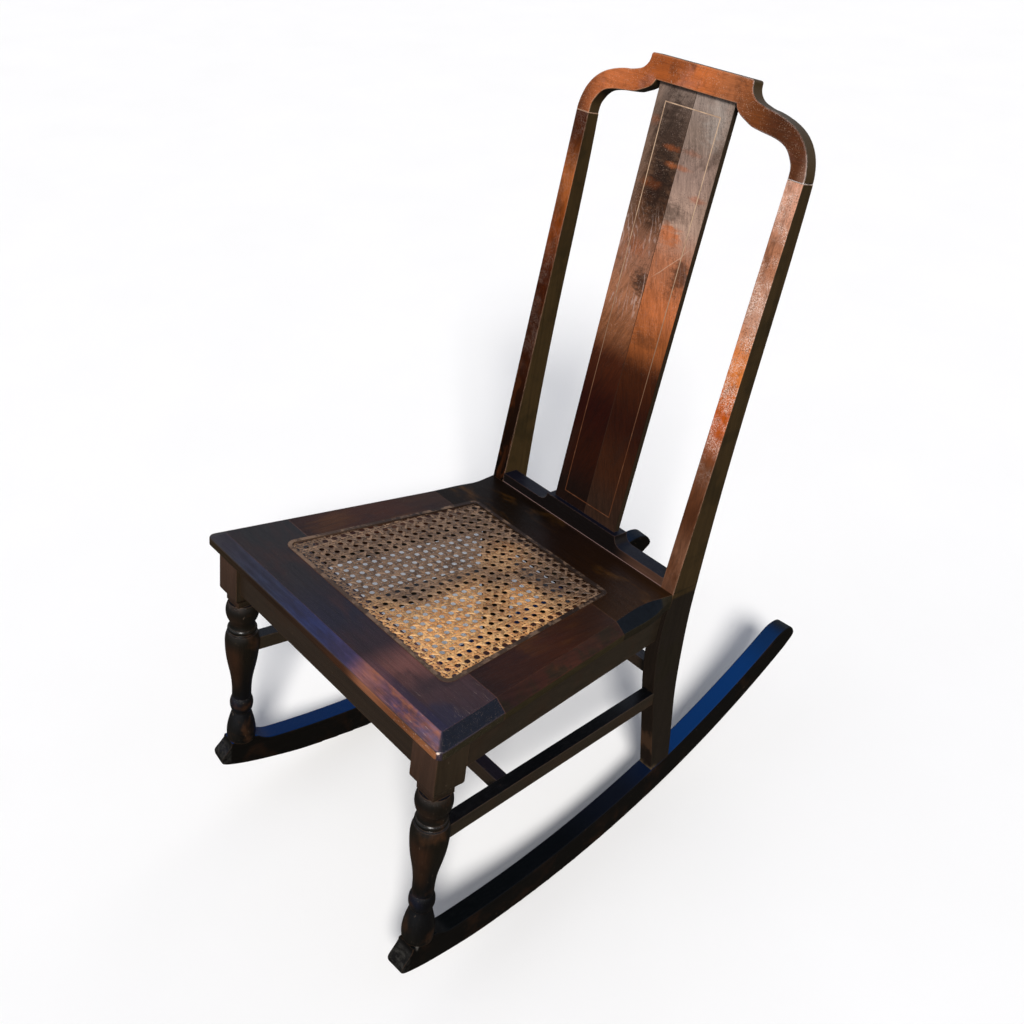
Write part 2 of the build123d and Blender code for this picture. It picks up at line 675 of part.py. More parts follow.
def seat_blank():
    """The whole seat before it is divided into boards: bevelled above, with a rounded nosing."""
    with BuildPart() as blank:
        with BuildSketch(level(BOARD_BOTTOM)):
            add(seat_edge(0, NOSING_CORNER_RADIUS, NOSING_WAIST))
        extrude(amount=NOSING_TOP - BOARD_BOTTOM)
        with BuildSketch(level(NOSING_TOP)):
            add(seat_edge(0, NOSING_CORNER_RADIUS, NOSING_WAIST))
        with BuildSketch(level(SEAT_TOP)):
            add(seat_edge(BEVEL_WIDTH, BEVEL_CORNER_RADIUS, BEVEL_WAIST))
        loft(ruled=True)
        fillet(blank.edges().filter_by(is_nosing), NOSING_RADIUS)
    return blank


def seat_opening():
    """What is cut out for the cane: the spline's groove, the rebate on the ledge, and the hole."""
    with BuildPart() as opening:
        with BuildSketch(level(SEAT_TOP)):
            add(cane_outline(0))
            add(cane_outline(SPLINE_WIDTH), mode=Mode.SUBTRACT)
        extrude(amount=-SPLINE_DEPTH)
        with BuildSketch(level(SEAT_TOP)):
            add(cane_outline(SPLINE_WIDTH))
        extrude(amount=-CANE_THICKNESS)
        with BuildSketch(level(SEAT_TOP)):
            add(cane_outline(SPLINE_WIDTH + LEDGE_WIDTH))
        extrude(amount=-BOARD_THICKNESS)
    return opening


def post_notches():
    """What is cut from the seat's rear corners, so that it fits round the posts and up to their faces."""
    face_at_bottom = POST_FRONT_Y - BOARD_THICKNESS * BACK_SLOPE
    with BuildPart() as notches:
        with BuildSketch(side_view(0)):
            with BuildLine():
                Polyline(
                    (POST_FRONT_Y + BACK_SLOPE - POST_CLEARANCE, SEAT_TOP + 1),
                    (face_at_bottom - BACK_SLOPE - POST_CLEARANCE, BOARD_BOTTOM - 1),
                    (SEAT_REAR_Y + 1, BOARD_BOTTOM - 1),
                    (SEAT_REAR_Y + 1, SEAT_TOP + 1),
                    close=True,
                )
            make_face()
        extrude(amount=SEAT_FRONT_HALF, both=True)
        with BuildSketch(level(BOARD_BOTTOM - 2)):
            with Locations((0, POST_FRONT_Y)):
                Rectangle(2 * (POST_INNER_X - POST_CLEARANCE), 4 * BOARD_THICKNESS)
        extrude(amount=2 * BOARD_THICKNESS, mode=Mode.SUBTRACT)
    return notches


def seat_board(blank, x_range, y_range):
    """One board: the part of the seat between two x and two y."""
    width = x_range[1] - x_range[0]
    length = y_range[1] - y_range[0]
    with BuildPart() as board:
        add(blank.part)
        with BuildSketch(level(BOARD_BOTTOM)):
            with Locations(((x_range[0] + x_range[1]) / 2, (y_range[0] + y_range[1]) / 2)):
                Rectangle(width, length)
        extrude(amount=BOARD_THICKNESS, mode=Mode.INTERSECT)
        add(opening.part, mode=Mode.SUBTRACT)
        add(seat_board_dowels.part, mode=Mode.SUBTRACT)
        add(notches.part, mode=Mode.SUBTRACT)
    return board


seat = seat_blank()
opening = seat_opening()
notches = post_notches()
whole_width = (-SEAT_BLANK_HALF, SEAT_BLANK_HALF)
between_joints = (FRONT_JOINT_Y, REAR_JOINT_Y)
front_board = seat_board(seat, whole_width, (SEAT_BLANK_FRONT_Y, FRONT_JOINT_Y))
rear_board = seat_board(seat, whole_width, (REAR_JOINT_Y, SEAT_BLANK_REAR_Y))
side_board_left = seat_board(seat, (0, SEAT_BLANK_HALF), between_joints)
side_board_right = seat_board(seat, (-SEAT_BLANK_HALF, 0), between_joints)

with BuildPart() as cane_panel:
    with BuildSketch(level(SEAT_TOP)):
        add(cane_outline(SPLINE_WIDTH))
    extrude(amount=-CANE_THICKNESS)

with BuildPart() as cane_spline:
    with BuildSketch(level(SEAT_TOP - SPLINE_DEPTH)):
        add(cane_outline(0))
        add(cane_outline(SPLINE_WIDTH), mode=Mode.SUBTRACT)
    extrude(amount=SPLINE_DEPTH + SPLINE_CROWN)

# ---------------------------------------------------------------- the finished pieces

pieces = {
    "medial_stretcher": medial_stretcher,
    "rear_stretcher": rear_stretcher,
    "front_apron": front_apron,
    "rear_apron": rear_apron,
    "rear_leg_dowels": rear_leg_dowels,
    "crest_dowels": crest_dowels,
    "seat_board_dowels": seat_board_dowels,
    "splat": splat,
    "splat_stringing": splat_stringing,
    "shoe_rail": shoe_rail,
    "crest_rail": crest_rail,
    "seat_front_board": front_board,
    "seat_rear_board": rear_board,
    "seat_side_board_left": side_board_left,
    "seat_side_board_right": side_board_right,
    "cane_panel": cane_panel,
    "cane_spline": cane_spline,
}
paired = {
    "side_stretcher": side_stretchers,
    "side_apron": side_aprons,
    "front_leg": front_legs,
    "rocker": rockers,
    "rear_post": rear_posts,
    "splat_veneer": splat_veneers,
}
for name, pair in paired.items():
    for side, piece in pair.items():
        pieces[f"{name}_{side}"] = piece

for name, piece in pieces.items():
    piece.part.label = name
    export_step(piece.part, f"parts/{name}.step")
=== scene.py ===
"""How the rocking chair looks: aged mahogany varnish, a woven cane seat, soft studio light.

Places are in the chair's own frame, in millimetres: x to the sitter's left, y to the back and z up,
square to the seat, from the feet of the front legs. Meshes are in metres in the frame of the CAD.
"""
import json
import random
from math import atan2

import bpy
from mathutils import Matrix, Vector
from mathutils.geometry import convex_hull_2d


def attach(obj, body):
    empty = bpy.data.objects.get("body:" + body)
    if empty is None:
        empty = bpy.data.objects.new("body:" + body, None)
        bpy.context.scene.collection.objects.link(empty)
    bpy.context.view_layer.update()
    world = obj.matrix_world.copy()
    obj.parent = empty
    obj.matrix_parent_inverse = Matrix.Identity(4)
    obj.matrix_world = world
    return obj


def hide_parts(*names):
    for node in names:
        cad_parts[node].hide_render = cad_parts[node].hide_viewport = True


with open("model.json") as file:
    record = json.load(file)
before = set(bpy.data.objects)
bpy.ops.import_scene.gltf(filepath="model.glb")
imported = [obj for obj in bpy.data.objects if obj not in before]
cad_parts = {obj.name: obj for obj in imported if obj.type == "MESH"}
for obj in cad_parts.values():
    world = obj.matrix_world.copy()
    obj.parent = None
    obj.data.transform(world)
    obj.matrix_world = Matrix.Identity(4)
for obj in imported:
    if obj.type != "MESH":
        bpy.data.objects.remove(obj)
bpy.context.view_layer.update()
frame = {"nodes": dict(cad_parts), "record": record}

MM = 0.001

# The seat's flat mount gives the chair's own frame: this is its place there.
SEAT_TOP = 304.5
SEAT_MOUNT_PLACE = (0, 7.3, SEAT_TOP)
CREST_JOINT = 777.3

# Camera: its place, and the directions of the image's right side and top.
CAMERA_PLACE = (0.80902, -0.71230, 1.18787)
CAMERA_RIGHT = (0.650334, 0.759625, -0.005976)
CAMERA_UP = (-0.447735, 0.389649, 0.804802)
CAMERA_LENS = 39.899
SENSOR_WIDTH = 36

FLOOR_HALF = 30

# Lamps: name, direction to the lamp, strength, spread, colour, and whether it is seen in a gloss.
LAMPS = [
    ("key", (0.62, -0.46, 0.64), 3.8, 0.26, (1.0, 0.98, 0.95), True),
    ("side", (-0.5, -0.75, 0.6), 0.25, 0.8, (1.0, 0.96, 0.9), True),
    ("rear", (-0.45, 0.89, 0.03), 1.6, 0.8, (1.0, 0.97, 0.92), False),
]

# The sky's colour at some heights, from -1 below to 1 above.
SKY = [
    (-1.0, (0.04, 0.036, 0.03)), (-0.2, (0.06, 0.056, 0.05)), (0.02, (0.42, 0.42, 0.44)),
    (0.35, (0.3, 0.32, 0.38)), (0.6, (0.2, 0.23, 0.3)), (1.0, (0.18, 0.2, 0.25)),
]
BACKDROP = (0.98, 0.98, 0.98, 1)

# A half size so large that a patch doesn't depend on that direction.
FLAT = 1e5

# How much a finish's roughness varies over its surface.
ROUGHNESS_RANGE = 0.15

# Cane: the spacing of its holes, the place of one of them, the strands and the sheet's sag.
CANE_PITCH_X = 12.65
CANE_PITCH_Y = 12.9
CANE_HOLE_X = 5.6
CANE_HOLE_Y = 49.6
PAIR_GAP = 0.165
STRAND_WIDTH = 2.7
STRAND_THICKNESS = 0.75
SHORTEST_STRAND = 6
KNOT_MARGIN = 0.8
DIAGONAL_WIDTH = 3
WEAVE_HEIGHT = 0.32
DIAGONAL_HEIGHT = 0.75
CANE_SAG = 5
CANE_LEVEL = 304.1
CANE_EDGE_DROP = 1.3
CANE_EDGE_WIDTH = 5
CANE_REACH = 0.6
LEDGE_WIDTH = 12
SAG_WIDTH = 110
WEAVE_SEED = 7

# The weave in units of a hole's spacing: the strands of a pair, the cells each way, and the
# diagonals, whose knots are a quarter of a cell apart.
HALF_CELL = 0.5
STRAND_PAIR = (HALF_CELL - PAIR_GAP, HALF_CELL + PAIR_GAP)
CELLS = range(-16, 24)
DIAGONALS = range(-30, 40)
QUARTERS = range(-64, 96)
DIAGONAL_LIFTS = (DIAGONAL_HEIGHT, 0, -DIAGONAL_HEIGHT, 0)


def chair_matrix():
    """The chair's own frame, in metres, as a matrix to the frame of the CAD."""
    mount = next(m for m in frame["record"]["mounts"] if m["name"] == "seat_front_rest")
    lean = atan2(mount["axis"][1], mount["axis"][2])
    turn = Matrix.Rotation(-lean, 4, "X")
    place = turn @ (Vector(SEAT_MOUNT_PLACE) * MM)
    return Matrix.Translation(Vector(mount["pos_m"]) - place) @ turn, lean


CHAIR, LEAN = chair_matrix()


def linear(colour):
    """A colour from 0 to 255 on a screen's scale, as a shader's linear one."""
    values = [c / 255 for c in colour]
    return (*[v / 12.92 if v < 0.04045 else ((v + 0.055) / 1.055) ** 2.4 for v in values], 1)


def set_stops(color_ramp, stops):
    """Gives a colour ramp its stops, which are (position, colour)."""
    points = color_ramp.elements
    points.remove(points[-1])
    points[0].position, points[0].color = stops[0]
    for position, colour in stops[1:]:
        points.new(position).color = colour


class Tree:
    """A material's nodes. Each method adds a few of them and gives back the last one's output."""

    def __init__(self, name):
        self.material = bpy.data.materials.new(name)
        self.material.use_nodes = True
        self.tree = self.material.node_tree
        self.tree.nodes.clear()
        place = {
            "Vector": self.node("TexCoord").outputs["Object"],
            "Location": CHAIR.translation,
            "Rotation": (-LEAN, 0, 0),
            "Scale": (MM, MM, MM),
        }
        self.place = self.node("Mapping", place, vector_type="TEXTURE").outputs[0]
        self.normal = self.node("NewGeometry").outputs["Normal"]
        self.height = 0.0

    def node(self, kind, sockets=None, **settings):
        made = self.tree.nodes.new("ShaderNode" + kind)
        for name, value in settings.items():
            setattr(made, name, value)
        for key, value in (sockets or {}).items():
            if isinstance(value, bpy.types.NodeSocket):
                self.tree.links.new(value, made.inputs[key])
            else:
                made.inputs[key].default_value = value
        return made

    def math(self, operation, *values):
        return self.node("Math", dict(enumerate(values)), operation=operation).outputs[0]

    def product(self, first, *others):
        """Factors multiplied together."""
        for other in others:
            first = self.math("MULTIPLY", first, other)
        return first

    def vector(self, operation, *values):
        return self.node("VectorMath", dict(enumerate(values)), operation=operation).outputs[0]

    def smooth(self, value, low, high):
        """0 up to low and 1 from high, or the other way round where low is above high."""
        sockets = {"Value": value, "From Min": low, "From Max": high}
        return self.node("MapRange", sockets, interpolation_type="SMOOTHSTEP").outputs[0]

    def mix(self, factor, first, second):
        """Two colours mixed. Each is an output, or a colour on the screen's scale."""
        first, second = (linear(c) if isinstance(c, tuple) else c for c in (first, second))
        sockets = {0: factor, 6: first, 7: second}
        return self.node("Mix", sockets, data_type="RGBA").outputs[2]

    def axis(self, name):
        return self.node("SeparateXYZ", {0: self.place}).outputs["XYZ".index(name.upper())]

    def noise(self, scale, detail=3, roughness=0.55, shift=0.0, distortion=0.0):
        """Noise from 0 to 1, with scale as one number or one for each direction, in 1/mm."""
        scale = scale if isinstance(scale, tuple) else (scale, scale, scale)
        place = self.vector("MULTIPLY", self.place, scale)
        place = self.vector("ADD", place, (shift, 2 * shift, 3 * shift))
        sockets = {"Vector": place, "Scale": 1.0, "Detail": detail}
        sockets.update({"Roughness": roughness, "Distortion": distortion})
        return self.node("TexNoise", sockets).outputs[0]

    def ramp(self, value, low, high, stops):
        """Colours along a value from low to high. A stop is (value, colour on the screen's scale)."""
        sockets = {"Value": value, "From Min": low, "From Max": high}
        place = self.node("MapRange", sockets).outputs[0]
        made = self.node("ValToRGB", {0: place})
        made.color_ramp.interpolation = "EASE"
        set_stops(made.color_ramp, [((at - low) / (high - low), linear(c)) for at, c in stops])
        return made.outputs[0]

    def facing(self, direction, low=0.35, high=0.75):
        """1 where the surface faces a direction in the frame of the CAD."""
        sockets = {0: self.normal, 1: direction}
        dot = self.node("VectorMath", sockets, operation="DOT_PRODUCT").outputs["Value"]
        return self.smooth(dot, low, high)

    def flat_on(self, direction):
        """1 where the surface squarely faces a direction in the frame of the CAD."""
        return self.facing(direction, 0.86, 0.97)

    def sloping(self, direction):
        """1 where the surface lies along one slope, given by its normal in the frame of the CAD."""
        return self.facing(direction, 0.93, 0.985)

    def line(self, name, at, half):
        """1 along a thin line across one axis."""
        far = self.math("ABSOLUTE", self.math("SUBTRACT", self.axis(name), at))
        return self.smooth(far, half, half * 0.4)

    def blob(self, centre, size, ragged=0.35, scale=0.08, soft=0.7):
        """1 inside an uneven rounded patch with that centre and those half sizes."""
        place = self.vector("SUBTRACT", self.place, centre)
        place = self.vector("DIVIDE", place, size)
        far = self.node("VectorMath", {0: place}, operation="LENGTH").outputs["Value"]
        wander = self.product(self.math("SUBTRACT", self.noise(scale), 0.5), ragged * 4)
        return self.smooth(self.math("ADD", far, wander), 0.9 + soft / 2, 0.9 - soft / 2)

    def rest_of_back(self):
        """The colour of the sides and the rear of the back: dark olive sides, which is painted shade,
        and a browner rear.
        """
        rear = self.mix(self.noise((0.02, 0.02, 0.006), 4, 0.6, 2.5), (74, 48, 28), BACK_SHADE)
        return self.mix(self.facing(BACK, 0.5, 0.8), SIDE_PAINTED_SHADE, rear)

    def marks_and_shadows(self, colour, marks_and_shadows):
        """Marks on an upright face, the soft dark ones painted shadows."""
        for (x, z), (half_x, half_z), tint, strength in marks_and_shadows:
            factor = self.blob((x, 0, z), (half_x, FLAT, half_z), 0.55, (0.1, 0.1, 0.24), 1.2)
            colour = self.mix(self.product(factor, strength), colour, tint)
        return colour

    def shade(self, colour, factor, depth):
        """Darkens a colour by up to depth where factor is 0."""
        dark = self.node("HueSaturation", {"Value": 1 - depth, "Color": colour}).outputs[0]
        return self.mix(factor, dark, colour)

    def grain(self, colour, along, depth=0.35):
        """Fine fibres and short dark pores along one direction, with their height for the bump."""
        fine = tuple(0.02 if a == along else 0.9 for a in "xyz")
        fibres = tuple(0.008 if a == along else 0.25 for a in "xyz")
        pores = tuple(0.09 if a == along else 2.4 for a in "xyz")
        broad = self.noise(fibres, 4, 0.6, 3.1, 0.6)
        narrow = self.noise(fine, 3, 0.6, 7.7)
        pore = self.smooth(self.noise(pores, 2, 0.5, 1.3), 0.34, 0.42)
        colour = self.shade(colour, self.smooth(broad, 0.3, 0.65), depth)
        colour = self.shade(colour, self.smooth(narrow, 0.3, 0.62), depth * 0.8)
        colour = self.shade(colour, pore, depth * 0.9)
        height = self.math("ADD", self.product(narrow, 0.5), pore)
        self.height = self.math("ADD", self.height, height)
        return colour

    def blotches(self, colour, tint, scale, amount, low=0.5, high=0.62, shift=0.0):
        """Uneven patches of another colour."""
        factor = self.smooth(self.noise(scale, 4, 0.6, shift, 0.4), low, high)
        return self.mix(self.product(factor, amount), colour, tint)

    def specks(self, colour, tint, scale, share, amount=0.8, where=None, shift=0.0):
        """Small worn specks. The share is how much of the surface they take, from 0 to 1."""
        edge = 0.72 - 0.3 * share
        factor = self.smooth(self.noise(scale, 2, 0.6, shift), edge, edge + 0.05)
        cluster = self.smooth(self.noise(0.05, 2, 0.5, shift + 2.0), 0.35, 0.6)
        factor = self.product(factor, cluster, amount)
        if where is not None:
            factor = self.product(factor, where)
        return self.mix(factor, colour, tint)

    def worn_edges(self, colour, tint, amount=0.6, radius=1.2):
        """The paler line where an edge has lost its varnish, broken up by noise."""
        sockets = {"Radius": radius * MM}
        rounded = self.node("Bevel", sockets, samples=4).outputs[0]
        dot = self.node("VectorMath", {0: rounded, 1: self.normal}, operation="DOT_PRODUCT")
        factor = self.smooth(dot.outputs["Value"], 0.985, 0.9)
        broken = self.smooth(self.noise(0.12, 4, 0.7, 5.0), 0.32, 0.5)
        factor = self.product(factor, broken, amount)
        return self.mix(factor, colour, tint)

    def finish(self, colour, roughness, gloss, coat=0.0, bump=0.06):
        """The surface itself: its roughness varies, and the grain's height bends its light."""
        wipe = self.noise(0.02, 5, 0.65, 9.0)
        least = roughness - ROUGHNESS_RANGE / 2
        rough = self.math("ADD", least, self.product(wipe, ROUGHNESS_RANGE))
        height = self.math("ADD", self.height, self.product(self.noise(0.7, 2), 0.4))
        sockets = {"Height": height, "Strength": 1.0, "Distance": bump * MM}
        shader = self.node("BsdfPrincipled")
        shader.inputs["Specular IOR Level"].default_value = gloss
        shader.inputs["Coat Weight"].default_value = coat
        shader.inputs["Coat Roughness"].default_value = 0.18
        self.tree.links.new(colour, shader.inputs["Base Color"])
        self.tree.links.new(rough, shader.inputs["Roughness"])
        self.tree.links.new(self.node("Bump", sockets).outputs[0], shader.inputs["Normal"])
        return self.surface(shader)

    def surface(self, shader):
        """Ends the tree with a shader, and gives back the material."""
        end = self.node("OutputMaterial")
        self.tree.links.new(shader.outputs[0], end.inputs[0])
        return self.material


# Directions in the frame of the CAD: the back's front and rear faces, the seat's top, its bevels
# and its front edge, and the fronts of the legs.
FRONT = (0, -0.958, 0.286)
BACK = (0, 0.958, -0.286)
UP = (0, 0.173, 0.985)
FRONT_BEVEL = (0, -0.358, 0.934)
NEAR_BEVEL = (0.514, 0.149, 0.845)
SEAT_FRONT = (0, -0.985, 0.173)
LEG_FRONT = (0, -0.985, -0.173)

# Colours of the back's sides, darkened as painted shade, of its rear, of joint lines, of bare wood,
# and of rubbed edges.
# Dark olive for the back's sides: painted shade.
SIDE_PAINTED_SHADE = (60, 46, 26)
BACK_SHADE = (104, 70, 42)
JOINT_LINE = (30, 16, 8)
BARE_WOOD = (232, 206, 190)
SEAT_WEAR = (112, 78, 56)
LEG_WEAR = (98, 72, 52)

# The back's foot, and the tops of its posts and splat: the heights that its colours run between.
BACK_FOOT = 300
POST_TOP = 790
SPLAT_TOP = 830
CREST_HALF = 165

# How far the veneers' grain turns out from upright, in radians.
VENEER_TURN = 0.35

# Colours along the posts and the splat's two halves, by height: the varnish's own tone and bleaching,
# with painted shade low down and painted sunlight higher up.
NEAR_POST = [
    (300, (96, 62, 44)), (350, (118, 78, 56)), (400, (84, 46, 24)), (460, (112, 66, 40)),
    (520, (200, 90, 18)), (580, (232, 132, 60)), (640, (206, 150, 122)), (700, (186, 122, 88)),
    (760, (234, 170, 140)),
]
FAR_POST = [
    (300, (4, 2, 1)), (400, (24, 8, 1)), (460, (46, 16, 1)), (520, (52, 22, 6)),
    (580, (60, 20, 0)), (640, (128, 58, 12)), (700, (170, 92, 40)), (755, (66, 24, 0)),
]
NEAR_VENEER = [
    (300, (62, 40, 28)), (345, (50, 32, 22)), (400, (58, 28, 11)), (460, (46, 14, 2)),
    (520, (66, 28, 6)), (560, (160, 88, 44)), (600, (200, 114, 66)), (650, (188, 118, 82)),
    (700, (196, 162, 142)), (750, (166, 138, 124)), (790, (150, 128, 114)), (828, (172, 152, 140)),
]
FAR_VENEER = [
    (300, (34, 16, 9)), (345, (24, 10, 5)), (400, (42, 12, 1)), (460, (40, 6, 0)),
    (520, (68, 28, 8)), (560, (140, 86, 54)), (600, (170, 112, 80)), (650, (164, 112, 86)),
    (700, (104, 68, 46)), (750, (104, 76, 58)), (800, (104, 84, 72)), (828, (138, 118, 106)),
]

# Marks on the splat, the soft dark ones painted shadows of leaves: (place across and up, half sizes,
# colour, strength).
NEAR_MARKS_AND_SHADOWS = [
    ((15, 770), (11, 3), (162, 100, 72), 0.5), ((6, 752), (12, 2.8), (190, 108, 64), 0.55),
    ((38, 726), (11, 4), (182, 104, 68), 0.55), ((3, 704), (17, 13), (62, 46, 38), 0.65),
    ((13, 681), (16, 11), (204, 112, 58), 0.8), ((44, 645), (12, 17), (40, 26, 20), 0.7),
    ((40, 806), (18, 24), (182, 170, 160), 0.6), ((20, 560), (18, 8), (60, 36, 24), 0.4),
]
FAR_MARKS_AND_SHADOWS = [
    ((-20, 775), (23, 48), (44, 30, 22), 0.7), ((-16, 722), (19, 36), (34, 22, 16), 0.75),
    ((-14, 769), (10, 3.5), (160, 86, 46), 0.6), ((-6, 752), (12, 3), (190, 106, 58), 0.6),
    ((-30, 727), (14, 5), (140, 74, 36), 0.65), ((-47, 792), (6, 5), (156, 84, 44), 0.6),
    ((-8, 622), (12, 15), (20, 14, 12), 0.8), ((-28, 655), (15, 9), (160, 84, 44), 0.45),
]

# Colours across the seat's front board: its top, its bevel and its nosing. The blue and violet in the
# top's and the bevel's colours is painted reflection of the sky.
FRONT_HALF = 220
FRONT_TOP_COLOURS = [
    (-200, (30, 28, 28)), (-100, (36, 30, 32)), (0, (30, 26, 40)), (60, (44, 30, 36)),
    (105, (112, 70, 64)), (150, (66, 45, 48)), (220, (56, 46, 56)),
]
FRONT_BEVEL_COLOURS = [
    (-220, (54, 50, 54)), (-100, (46, 49, 68)), (0, (42, 47, 84)), (60, (60, 52, 84)),
    (100, (140, 92, 90)), (125, (112, 76, 88)), (155, (62, 54, 88)), (200, (112, 90, 112)),
]
FRONT_NOSING_COLOURS = [
    (-220, (50, 38, 22)), (-100, (42, 26, 13)), (0, (54, 35, 22)), (60, (72, 42, 24)),
    (100, (156, 100, 70)), (155, (124, 74, 44)), (215, (164, 104, 66)),
]

# Colours of the front legs' front faces and of their sides, by height: the fronts lighter as painted
# light and the sides darker as painted shade.
FRONT_LEG_PAINTED_LIT_FRONTS = [
    (0, (20, 18, 15)), (50, (16, 17, 20)), (62, (20, 22, 34)), (75, (16, 14, 12)),
    (105, (44, 28, 18)), (140, (50, 31, 20)), (162, (26, 22, 17)), (176, (12, 13, 12)),
    (190, (42, 30, 22)), (205, (22, 19, 16)), (222, (66, 48, 38)), (285, (78, 56, 45)),
]
FRONT_LEG_PAINTED_SHADE_SIDES = [
    (0, (10, 9, 8)), (60, (9, 9, 11)), (150, (22, 18, 12)), (205, (22, 18, 13)),
    (222, (46, 37, 26)), (285, (54, 43, 31)),
]
LEG_TOP = 290

# Colours along the rockers' tops, from the front to the back: the blue is painted reflection of the
# sky.
ROCKER_REACH = 680
NEAR_ROCKER_PAINTED_SKY = [
    (0, (3, 5, 6)), (220, (3, 5, 8)), (330, (8, 12, 22)), (400, (8, 20, 42)),
    (430, (3, 40, 86)), (570, (3, 43, 92)), (625, (5, 36, 74)), (655, (11, 18, 26)),
]
FAR_ROCKER_PAINTED_SKY = [
    (0, (2, 30, 70)), (300, (3, 34, 76)), (560, (5, 44, 92)), (650, (12, 22, 34)),
]


def crest_varnish():
    """Orange on the front, partly bleached and partly painted sunlight, and darker down the near
    shoulder.
    """
    tree = Tree("crest_varnish")
    colour = tree.ramp(tree.axis("x"), -CREST_HALF, CREST_HALF, [
        (-165, (128, 66, 30)), (-120, (206, 114, 62)), (-50, (170, 86, 32)), (0, (208, 112, 54)),
        (50, (178, 104, 60)), (85, (120, 62, 20)), (115, (80, 38, 6)),
        (150, (90, 46, 16)), (162, (132, 92, 72)),
    ])
    colour = tree.blotches(colour, (88, 42, 12), 0.03, 0.6, 0.5, 0.68, 2.0)
    colour = tree.blotches(colour, (176, 124, 112), 0.022, 0.35, 0.55, 0.7, 6.0)
    colour = tree.grain(colour, "x", 0.22)
    # Pale specks in the varnish, brightened as painted glints of sunlight.
    colour = tree.specks(colour, (232, 198, 170), 0.8, 0.4, 0.3, shift=1.0)
    colour = tree.specks(colour, (96, 44, 14), 0.25, 0.6, 0.3, shift=5.0)
    # The front keeps its colours; the other faces take the back's, with the sides darkened as painted
    # shade.
    colour = tree.mix(tree.facing(FRONT), tree.rest_of_back(), colour)
    colour = tree.mix(tree.line("z", CREST_JOINT, 0.7), colour, JOINT_LINE)
    near = tree.mix(tree.smooth(tree.axis("x"), 40, 70), (206, 168, 138), (240, 230, 224))
    colour = tree.worn_edges(colour, near, 1.0, 1.7)
    return tree.finish(colour, 0.42, 0.2, coat=0.04)


def post_varnish(side, stops, speckled, gloss):
    """Fronts partly bleached, partly painted sunlit, and speckled; sides dark olive as painted shade;
    rubbed places by the foot.
    """
    tree = Tree("post_varnish_" + side)
    # Colours by height: painted shade low down and painted sunlight higher up, over the varnish's own
    # tone and bleaching.
    colour = tree.ramp(tree.axis("z"), BACK_FOOT, POST_TOP, stops)
    colour = tree.blotches(colour, (80, 40, 14), (0.06, 0.06, 0.025), 0.5, 0.5, 0.66, 4.0)
    below = tree.smooth(tree.axis("z"), BACK_FOOT, BACK_FOOT - 4)
    colour = tree.mix(below, colour, (34, 26, 20))
    colour = tree.grain(colour, "z", 0.25)
    # Pale specks only higher up, in the painted sunlight: specks in the varnish brightened as painted
    # glints.
    above = tree.smooth(tree.axis("z"), 430, 520)
    colour = tree.specks(colour, (240, 212, 196), 0.8, 0.75, speckled, above)
    colour = tree.specks(colour, (90, 46, 22), 0.6, 0.5, 0.6, above, 3.0)
    side_colour = tree.mix(below, tree.rest_of_back(), (34, 28, 22))
    side_colour = tree.blotches(side_colour, (32, 28, 16), 0.02, 0.4)
    seat_line = tree.product(tree.line("z", SEAT_TOP + 1, 0.8), 0.6)
    side_colour = tree.mix(seat_line, side_colour, (20, 16, 12))
    # The sides take the side colours, darker than the front as painted shade.
    colour = tree.mix(tree.facing(FRONT), tree.grain(side_colour, "z", 0.2), colour)
    rough = tree.blob((0, 0, 74), (FLAT, FLAT, 15), 0.6, 0.14)
    rough = tree.product(rough, tree.facing((0, -1, 0), 0.6, 0.9))
    colour = tree.mix(tree.product(rough, 0.5), colour, (84, 60, 42))
    foot = tree.blob((0, 0, 22), (FLAT, FLAT, 12), 0.5, 0.1)
    colour = tree.mix(tree.product(foot, 0.6), colour, (96, 80, 60))
    colour = tree.mix(tree.line("z", CREST_JOINT, 0.7), colour, JOINT_LINE)
    upper_wear = tree.worn_edges(colour, (214, 172, 146), 0.9)
    colour = tree.mix(below, upper_wear, colour)
    return tree.finish(colour, 0.45, gloss, coat=0.02)


def curved_strokes(tree):
    """Pale strokes that curve outwards as they rise, over the middle of the splat."""
    height = tree.axis("z")
    rise = tree.math("SUBTRACT", height, 600)
    bend = tree.product(rise, rise, 0.002)
    wander = tree.product(tree.noise((0.05, 0.05, 0.012), 4, 0.6, 4.4), 34)
    place = tree.math("ADD", tree.math("ADD", tree.axis("x"), bend), wander)
    wave = tree.math("SINE", tree.product(place, 0.9))
    broken = tree.smooth(tree.noise((0.07, 0.07, 0.02), 4, 0.7, 8.1), 0.44, 0.6)
    middle = tree.product(tree.smooth(height, 560, 600), tree.smooth(height, 715, 670))
    return tree.product(tree.smooth(wave, 0.55, 1.0), broken, middle)


def scratch(tree):
    """A long slanting scratch across the near half."""
    across = tree.axis("x")
    slope = tree.math("ADD", tree.product(across, 0.004), 0.85)
    height = tree.math("ADD", tree.product(across, slope), 629)
    off = tree.math("SUBTRACT", tree.axis("z"), height)
    off = tree.math("ADD", off, tree.product(tree.noise(0.05, 2, 0.5, 2.2), 5))
    thin = tree.smooth(tree.math("ABSOLUTE", off), 1.1, 0.2)
    ends = tree.product(tree.smooth(across, 2, 16), tree.smooth(across, 52, 40))
    return tree.product(thin, ends)


